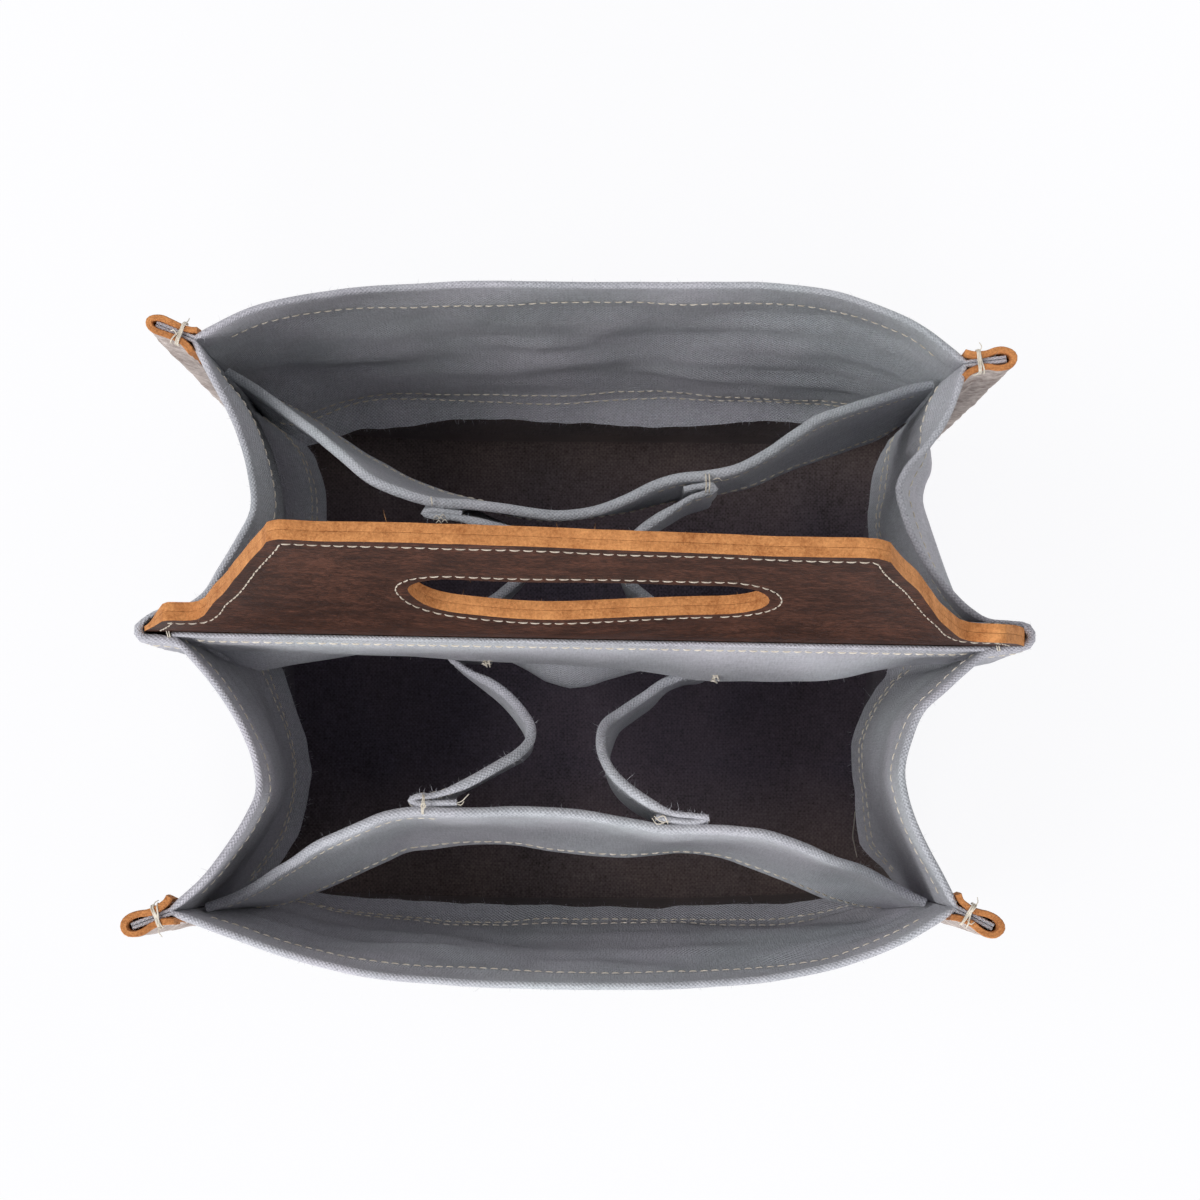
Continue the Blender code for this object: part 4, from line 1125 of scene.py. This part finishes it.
def build_cross(place, seed):
    mid = cross_mid(CROSSES[place], seed)
    half = rolled(mid, 0.88, 1.45, 3.2, 0.2, 0.76)
    cad = f"cross_divider_{place}"
    return Sheet(f"{cad}_cloth", mid, half, half, np.array([0.3, 1.0, 0]), cad, ROUND_EDGE)


crosses = {place: build_cross(place, 60 + number) for number, place in enumerate(CROSSES)}

# Corner bindings

BIND_HALF = 0.95
BIND_FLAT = 2.35


def binding(place, corner, seed, slim_top=1.0):
    """Leather folded round a fin, flared at its cut ends, pinched at the tack and round at its tip."""
    leg = [(0.0, 2.9), (1.8, 2.2), (4.0, 1.8), (6.2, 1.9), (8.8, 2.55), (11.6, 2.5), (13.4, 1.5)]
    other_leg = [(s, -w) for s, w in reversed(leg[2:])] + [(1.6, -2.4), (0.2, -3.0), (-1.0, -4.0)]
    centre = curve_through(leg + [(14.0, 0.0)] + other_leg, 0.9)
    away = outward_sides(centre, centre.mean(0))
    along, across = centre.T
    sides = {1: [], -1: []}
    for z in np.linspace(0.5, RIM + 0.3, 50):
        near_top = smooth((z - 128) / 16)
        slim = 1 + (slim_top - 1) * smooth((along - 6) / 3) * near_top
        middle = np.column_stack([along, across * slim])
        middle[:, 1] += (np.clip(across, -BIND_FLAT, BIND_FLAT) - middle[:, 1]) * (1 - near_top)
        middle[:, 1] += noise_at(z / 26, seed, 0.0) * 0.7 * smooth((z - 20) / 60) * (1 - near_top) * 0.4
        shift = 3.0 * (1 - smooth(z / 120)) + 2.3 * (1 - smooth((z - 130) / 12))
        middle[:, 0] += shift * smooth((7.2 - along) / 6.6)
        for sign, rows in sides.items():
            spots = middle + away * BIND_HALF * sign
            rows.append(at_height(corner.spot(z, spots[:, :1], spots[:, 1:]), z))
    a, b = (np.array(rows) for rows in sides.values())
    top_wave = ripple(a[-1:], seed, 5, 0.5)[0]
    rough = ripple(a, seed + 2, 9, 0.45) + ripple(a, seed + 6, 3.5, 0.3)
    a[..., :2] += unit(a[..., :2] - corner.at(a[..., 2])) * rough[..., None]
    a[-1, :, 2] += top_wave
    b[-1, :, 2] += top_wave
    soft = np.array([a[-1] * 0.86 + b[-1] * 0.14, b[-1] * 0.86 + a[-1] * 0.14])
    soft[..., 2] += 0.45
    loop = np.concatenate([a, soft, b[::-1]])
    count, columns = loop.shape[:2]
    faces = loft_faces(count, columns)
    name = f"binding_{place}"
    # outer faces take the grain with painted sheen, the rest the cut edge
    piece = to_object(name, loop.reshape(-1, 3), faces, [BIND_GRAIN_PAINTED_SHEEN, BIND_CUT])
    cut = np.ones(len(faces), int)
    cut[: (len(a) - 1) * (columns - 1)] = 0
    piece.data.polygons.foreach_set("material_index", cut)
    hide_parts(f"corner_binding_{place}")


binding("front_left", FRONT_LEFT, 3.0)
binding("front_right", FRONT_RIGHT, 7.0)
binding("back_left", BACK_LEFT, 11.0, 0.78)
binding("back_right", BACK_RIGHT, 15.0)

# Thread


def tube_rings(line, normal, radii, sides=6):
    """Rings of points round a short line."""
    run = unit(np.gradient(line, axis=0))
    normal = unit(normal - (normal * run).sum(1, keepdims=True) * run)
    side = np.cross(run, normal)
    turn = np.linspace(0, 2 * math.pi, sides, endpoint=False)[None, :, None]
    away = np.cos(turn) * normal[:, None] + np.sin(turn) * side[:, None]
    return line[:, None] + radii[:, None, None] * away


class Threads:
    """Many short threads that become one piece."""

    def __init__(self):
        self.points, self.faces, self.count = [], [], 0

    def add(self, rings):
        index = self.count + np.arange(rings.shape[0] * rings.shape[1]).reshape(rings.shape[:2])
        self.points.append(rings.reshape(-1, 3))
        self.count += index.size
        self.faces += ring_faces(index) + [index[0].tolist(), index[-1][::-1].tolist()]

    def stitches(self, line, normals, pitch=3.2, length=2.3, radius=0.27, sink=0.06, wander=0.1):
        """A row of straight stitches along a line on a face."""
        far = chord(line)
        for start in np.arange(pitch * 0.3, far[-1] - length, pitch):
            at = start + rng.normal(0, 0.06) + np.linspace(0, length * rng.uniform(0.94, 1.05), 6)
            p = values_at(line, far, at)
            n = unit(values_at(normals, far, at))
            t = np.linspace(0, 1, 6)
            rise = np.sin(math.pi * t) ** 0.35 * (radius * 0.95 + sink) - sink - radius * 0.35
            across = np.cross(unit(np.gradient(p, axis=0)), n)
            p = p + n * rise[:, None] + across * rng.normal(0, wander) * np.linspace(-1, 1, 6)[:, None]
            full = np.sin(math.pi * np.clip(t, 0.04, 0.96)) ** 0.5
            self.add(tube_rings(p, n, radius * (0.55 + 0.45 * full)))

    def strand(self, points, radius):
        """One thread along a smooth line."""
        line = curve_through(points, max(0.35, radius))
        n = np.broadcast_to(unit((0.13, 0.21, 1.0)), line.shape)
        t = np.linspace(0, 1, len(line))
        self.add(tube_rings(line, n, radius * (0.75 + 0.25 * np.sin(math.pi * t)), 7))

    def finish(self, name, material=THREAD):
        to_object(name, np.concatenate(self.points), self.faces, [material], sharp=80)


# Stitching

SIDES = ("inner", "outer")
WALL_ENDS = {"back": (0.075, 0.925), "front": (0.075, 0.925), "left": (0.07, 0.93), "right": (0.07, 0.93)}
hems = Threads()
for place, ends in WALL_ENDS.items():
    for side in SIDES:
        hems.stitches(*WALLS[place].sheet.line(side, HEM_SEAM, *ends), radius=0.23)
hems.finish("thread_hems")

seams = Threads()
for wall in WALLS.values():
    for height in (STITCHED, SECOND_SEAM):
        seams.stitches(*wall.sheet.line("inner", height, 0.09, 0.91))
        seams.stitches(*wall.flap.line("outer", height, 0.03, 0.97))
seams.finish("thread_bottom")

seams = Threads()
for strip in (strip_front, strip_back):
    for side in SIDES:
        seams.stitches(*strip.rim_line(side, STRIP - 5.5, 0.01, 0.99))
seams.stitches(*strip_front.rim_line("outer", 5.0, 0.01, 0.36))
seams.stitches(*strip_back.rim_line("inner", 5.0, 0.6, 0.99), radius=0.2)
for made in crosses.values():
    for side in SIDES:
        seams.stitches(*made.rim_line(side, 4.6, 0.3, 0.9), radius=0.18)
for band in bands:
    seams.stitches(*band.line("outer", RIM - 4.2, 0.02, 0.98))
seams.finish("thread_strips")


def handle_row(loop, across):
    """A line on one face of the handle, this far from the middle of its thickness, with its normals."""
    line = on_handle(loop, across)
    return line, unit(on_handle(loop, across + math.copysign(1, across)) - line)


def closed(ring):
    return resample(np.concatenate([ring, ring[:1]]), 1.0)


LEATHER_STITCH = {"pitch": 3.4, "length": 2.7, "radius": 0.21, "sink": 0.08, "wander": 0.05}
seams = Threads()
edge = over_handle(curve_through([p for p in HALF_EDGE if p[1] > -2], 1.0), np.linspace(68, -68, 100))
edge = inset(resample(reached(edge), 1.0), 3.6)
for across in (-LAYER, LAYER):
    for loop in (edge, closed(slot_outline(3.3, 24))):
        seams.stitches(*handle_row(loop, across), **LEATHER_STITCH)
seams.finish("thread_handle", HANDLE_THREAD)

# Frays and loose fibres


class Fibres:
    """Short tapering fibres as one piece."""

    def __init__(self):
        self.points, self.faces = [], []

    def add(self, root, way, length, radius):
        curl = rng.normal(0, 0.35, 3)
        way = unit(way)
        side = unit(np.cross(way, [0.3, 0.5, 0.81]))
        other = np.cross(way, side)
        start = len(self.points) * 7
        ring = []
        for t, r in ((0.0, radius), (0.55, radius * 0.8)):
            at = root + way * length * t + curl * length * t * t * 0.6
            ring += [at + r * (math.cos(a) * side + math.sin(a) * other) for a in (0.0, 2.094, 4.189)]
        ring.append(root + way * length + curl * length * 0.6)
        self.points.append(ring)
        for j in range(3):
            k = (j + 1) % 3
            self.faces.append((start + j, start + k, start + 3 + k, start + 3 + j))
            self.faces.append((start + 3 + j, start + 3 + k, start + 6))

    def along(self, line, away, side, density, length, spread=0.8, radius=0.04):
        """Fibres along a line, mostly pointing the way given, with some to either side."""
        far = chord(line)
        for at in rng.uniform(0, far[-1], int(far[-1] * density)):
            root, out, flank = (values_at(v, far, at) for v in (line, away, side))
            lean = rng.normal(0, spread)
            root = root + flank * rng.uniform(-1.2, 1.2)
            self.add(root, out + flank * lean + rng.normal(0, 0.35, 3), length * rng.gamma(2.0, 0.5), radius)

    def finish(self, name, material):
        to_object(name, np.array(self.points).reshape(-1, 3), self.faces, [material], sharp=80)


sheets = [wall.sheet for wall in WALLS.values()]
fuzz = Fibres()
frayed = [(made, 2.2, 0.7) for made in sheets] + [(strip_front, 5.0, 0.9), (strip_back, 5.0, 0.9)]
frayed += zip(crosses.values(), (9.0, 10.0, 5.0, 5.0), (1.1, 1.2, 1.0, 1.0))
for made, density, length in frayed:
    fuzz.along(*made.edge_points(), density, length)
for made in sheets:
    fuzz.along(*(v[8:-8] for v in made.edge_points(0)), 1.5, 0.9)
for made, row in ((bands[0], 0), (bands[1], 0), (divider, 6)):
    fuzz.along(*made.edge_points(row), 0.8, 0.8)
fuzz.finish("canvas_fibres", LINT)


def fray_handle(ring, away, density):
    """Fibres on both layers' cut edges, pointing away from the leather."""
    for across in (-1.35, 1.35):
        line = on_handle(ring, across)
        off = on_handle(ring, across, away) - line
        flank = on_handle(ring, across + 1.0) - line
        fuzz.along(line, unit(off), unit(flank), density, 0.6, 1.0, 0.035)


fuzz = Fibres()
outline = handle_outline()
upper = outline[(outline[:, 1] > 1) & (np.abs(outline[:, 0]) < 124)]
upper = resample(upper[np.argsort(upper[:, 0])], 1.0)
slot = closed(slot_outline(0.0, 24))
fray_handle(upper, upper - inset(upper, 1.0), 1.6)
fray_handle(slot, inset(slot, 1.0) - slot, 2.0)
fuzz.finish("leather_fibres", LEATHER_LINT)

# Tacks

tacks = Threads()


def tack(corner, s, seed, tails):
    """Thread over a corner binding's open top, down its two sides, with its tails."""
    tack_rng = np.random.default_rng(seed)
    half = [(3.3, -2.4), (3.52, -0.6), (2.6, 1.05)]
    over = half + [(0.0, 0.75)] + [(-w, z) for w, z in reversed(half)]
    for offset in (-0.55, -0.2, 0.15, 0.5):
        lean = tack_rng.normal(0, 0.12)
        points = []
        for w, z in over:
            spot = corner.spot(RIM, s + offset + lean * w, w)
            points.append((*spot, RIM + z + tack_rng.normal(0, 0.1)))
        tacks.strand(points, 0.25)
    for tail in tails:
        tacks.strand([(*corner.spot(RIM, s + a, w), z) for a, w, z in tail], 0.16)


# For each corner: how far out along its fin, then its two tails, each as places along, across and up
CORNER_TACKS = (
    (
        BACK_LEFT,
        4.2,
        [(0.4, -1.0, 151.2), (1.4, -0.2, 152.2), (2.6, -0.6, 151.4)],
        [(0.2, 2.8, 150.0), (-0.6, 4.2, 149.4), (-0.4, 5.2, 148.4)],
    ),
    (
        BACK_RIGHT,
        4.0,
        [(0.3, 2.8, 150.6), (0.9, 4.0, 151.2), (0.4, 5.4, 150.8)],
        [(-0.3, -2.8, 150.6), (-1.5, -3.8, 150.0), (-2.9, -3.6, 149.6)],
    ),
    (
        FRONT_LEFT,
        4.2,
        [(0.2, 2.6, 150.8), (0.7, 4.4, 151.4), (0.2, 6.0, 151.6)],
        [(0.0, -2.8, 150.4), (-0.9, -4.0, 150.0), (-2.0, -4.2, 149.4)],
    ),
    (
        FRONT_RIGHT,
        4.0,
        [(0.2, -2.8, 150.4), (0.9, -4.2, 150.2), (0.2, -5.6, 149.6)],
        [(0.3, 1.5, 151.2), (1.5, 2.2, 152.0), (2.3, 1.2, 151.6)],
    ),
)
for number, (corner, s, *tails) in enumerate(CORNER_TACKS):
    tack(corner, s, number + 1, tails)


def at_pixel(px, py, z):
    """The place at a height that is seen at a place in the photograph."""
    x, y, w = (px - PICTURE / 2) / FOCAL, (PICTURE / 2 - py) / FOCAL, -1.0
    ray = np.array([x, y * math.cos(TILT) - w * math.sin(TILT), y * math.sin(TILT) + w * math.cos(TILT)])
    return EYE + ray * (z - EYE[2]) / ray[2]


def seen(spots, radius):
    """One thread through places given as they are seen: across and down the picture, then height."""
    tacks.strand([at_pixel(*spot) for spot in spots], radius)


def knot(ends, heights, lift, radius):
    """Short threads heaped over one another, each arched between the two places of its row."""
    low, high, last = heights
    for ax, ay, bx, by in ends:
        seen([(ax, ay, low), ((ax + bx) / 2, (ay + by) / 2 - lift, high), (bx, by, last)], radius)


LEFT_KNOT = (
    (483, 662, 489, 660), (484, 665, 491, 664), (485, 661, 487, 667), (488, 660, 490, 667),
    (482, 664, 486, 666), (486, 663, 493, 661),
)
RIGHT_KNOT = (
    (711, 676, 716, 674), (712, 679, 718, 677), (713, 673, 715, 682), (716, 675, 719, 681),
    (711, 681, 717, 683), (714, 678, 720, 674),
)
for x in (-0.7, 0.7):
    over = [(423.5 + x, 798, 151.6), (423 + x * 1.5, 804, 151.9), (422.5 + x, 810, 151.7)]
    seen([(423 + x, 794, 149.0), *over, (423 + x, 815, 149.0)], 0.22)
turn = [(421, 805, 151.9), (424, 803, 152.5), (425.5, 806.5, 152.4), (422.5, 808, 152.3)]
seen([*turn, (420.5, 805.5, 152.2)], 0.22)
seen([(457, 803, 150.6), (462, 801, 151.0), (466, 797, 150.8), (469, 794, 150.4)], 0.15)
seen([(457, 804, 150.6), (461, 805, 151.2), (464, 801.5, 150.9)], 0.14)
for (ax, ay), (bx, by), (cx, cy) in (
    ((654, 816), (662, 822), (669, 821)),
    ((655, 819), (664, 816), (668, 824)),
    ((652, 818), (657, 824), (664, 823)),
):
    seen([(ax, ay, 150.4), (bx, by, 151.0), (cx, cy, 150.4)], 0.16)
seen([(430.5, 497, 149.0), (431.5, 499, 151.8), (432, 503, 151.8), (432, 506, 149.2)], 0.2)
for x, y in ((437, 517), (441, 519), (445, 521), (439, 522), (443, 516)):
    seen([(x - 3, y + 1, 150.2), (x, y - 1.5, 151.2), (x + 2.5, y + 1.5, 150.4)], 0.15)
for x in (705.5, 709.0):
    over = [(x + 0.4, 477, 151.7), (x + 0.8, 484, 151.9), (x + 0.4, 490, 151.6)]
    seen([(x, 473, 149.0), *over, (x + 0.4, 493, 149.0)], 0.22)
seen([(713, 480, 151.0), (718, 478, 151.6), (722, 481, 151.0)], 0.14)
knot(LEFT_KNOT, (118.0, 119.6, 118.2), 1.2, 0.26)
knot(RIGHT_KNOT, (120.5, 122.4, 120.8), 1, 0.3)
seen([(855, 812, 96.0), (854, 824, 84.0), (853, 837, 72.0), (855, 848, 62.0), (857, 857, 54.0)], 0.2)
for x, y in ((168, 632), (998, 646)):
    for k in (-1.3, 1.1):
        start = [(x + k - 1.2, y - 3.5, 150.0), (x + k - 0.4, y - 1, 151.3)]
        seen([*start, (x + k * 0.9 + 0.6, y + 2.5, 151.0), (x + k * 0.6 + 1.4, y + 6.5, 148.2)], 0.17)
tacks.finish("thread_tacks")

# Camera, light and floor

SKY_AS_LIGHT, SKY_SHOWN = 0.42, 0.98
FLOOR_COLOUR, FLOOR_GLOW = (0.93, 0.93, 0.94, 1), (0.985, 0.985, 1.0, 1)
FLOOR_SIZE = 4.0
SUNS = {"key": (1.75, 5.7, -38.5, 40), "front": (1.65, 69.5, -6.6, 26), "fill": (0.26, 0, 45, 50)}


def add_to_scene(name, data):
    made = bpy.data.objects.new(name, data)
    bpy.context.scene.collection.objects.link(made)
    return made


def add_camera():
    data = bpy.data.cameras.new("camera")
    data.sensor_width = SENSOR
    data.lens = SENSOR * FOCAL / PICTURE
    data.clip_start, data.clip_end = 0.05, 20
    camera = add_to_scene("camera", data)
    camera.location = Vector(EYE) * MM
    camera.rotation_euler = (TILT, 0, 0)
    bpy.context.scene.camera = camera


def seen_ray(tree):
    """1 for the rays that show the background: straight, mirrored or through something clear."""
    light = node(tree, "ShaderNodeLightPath").outputs
    mirrored = maths(tree, "MAXIMUM", light["Is Glossy Ray"], light["Is Transmission Ray"])
    return maths(tree, "MAXIMUM", light["Is Camera Ray"], mirrored)


def add_sky():
    """White to look at, dimmer as a light."""
    world = bpy.data.worlds.new("world")
    world.use_nodes = True
    sky = world.node_tree
    strength = maths(sky, "MULTIPLY_ADD", seen_ray(sky), SKY_SHOWN - SKY_AS_LIGHT, SKY_AS_LIGHT)
    feed(sky, sky.nodes["Background"], {0: (1, 1, 1, 1), 1: strength})
    bpy.context.scene.world = world


def add_suns():
    """Each sun: its strength, its turns about x and y in degrees, and the angle it fills."""
    for name, (strength, x, y, angle) in SUNS.items():
        data = bpy.data.lights.new(name, "SUN")
        data.energy = strength
        data.angle = math.radians(angle)
        add_to_scene(name, data).rotation_euler = (math.radians(x), math.radians(y), 0)


def add_floor():
    """It takes shadows, and is nearly white to look at."""
    mesh = bpy.data.meshes.new("floor")
    spots = [(x * FLOOR_SIZE, y * FLOOR_SIZE, 0) for x, y in ((-1, -1), (1, -1), (1, 1), (-1, 1))]
    mesh.from_pydata(spots, [], [(0, 1, 2, 3)])
    made, tree, bsdf = shader("floor_white")
    feed(tree, bsdf, {"Base Color": FLOOR_COLOUR, "Roughness": 1.0, "Specular IOR Level": 0.0})
    shown = maths(tree, "MULTIPLY", seen_ray(tree), 0.93)
    glow = node(tree, "ShaderNodeEmission", {"Color": FLOOR_GLOW, "Strength": 1.0})
    both = node(tree, "ShaderNodeMixShader", {0: shown, 1: bsdf.outputs[0], 2: glow.outputs[0]})
    feed(tree, tree.nodes["Material Output"], {"Surface": both.outputs[0]})
    mesh.materials.append(made)
    add_to_scene("floor", mesh)


add_camera()
add_sky()
add_suns()
add_floor()
bpy.context.scene.view_settings.view_transform = "Standard"
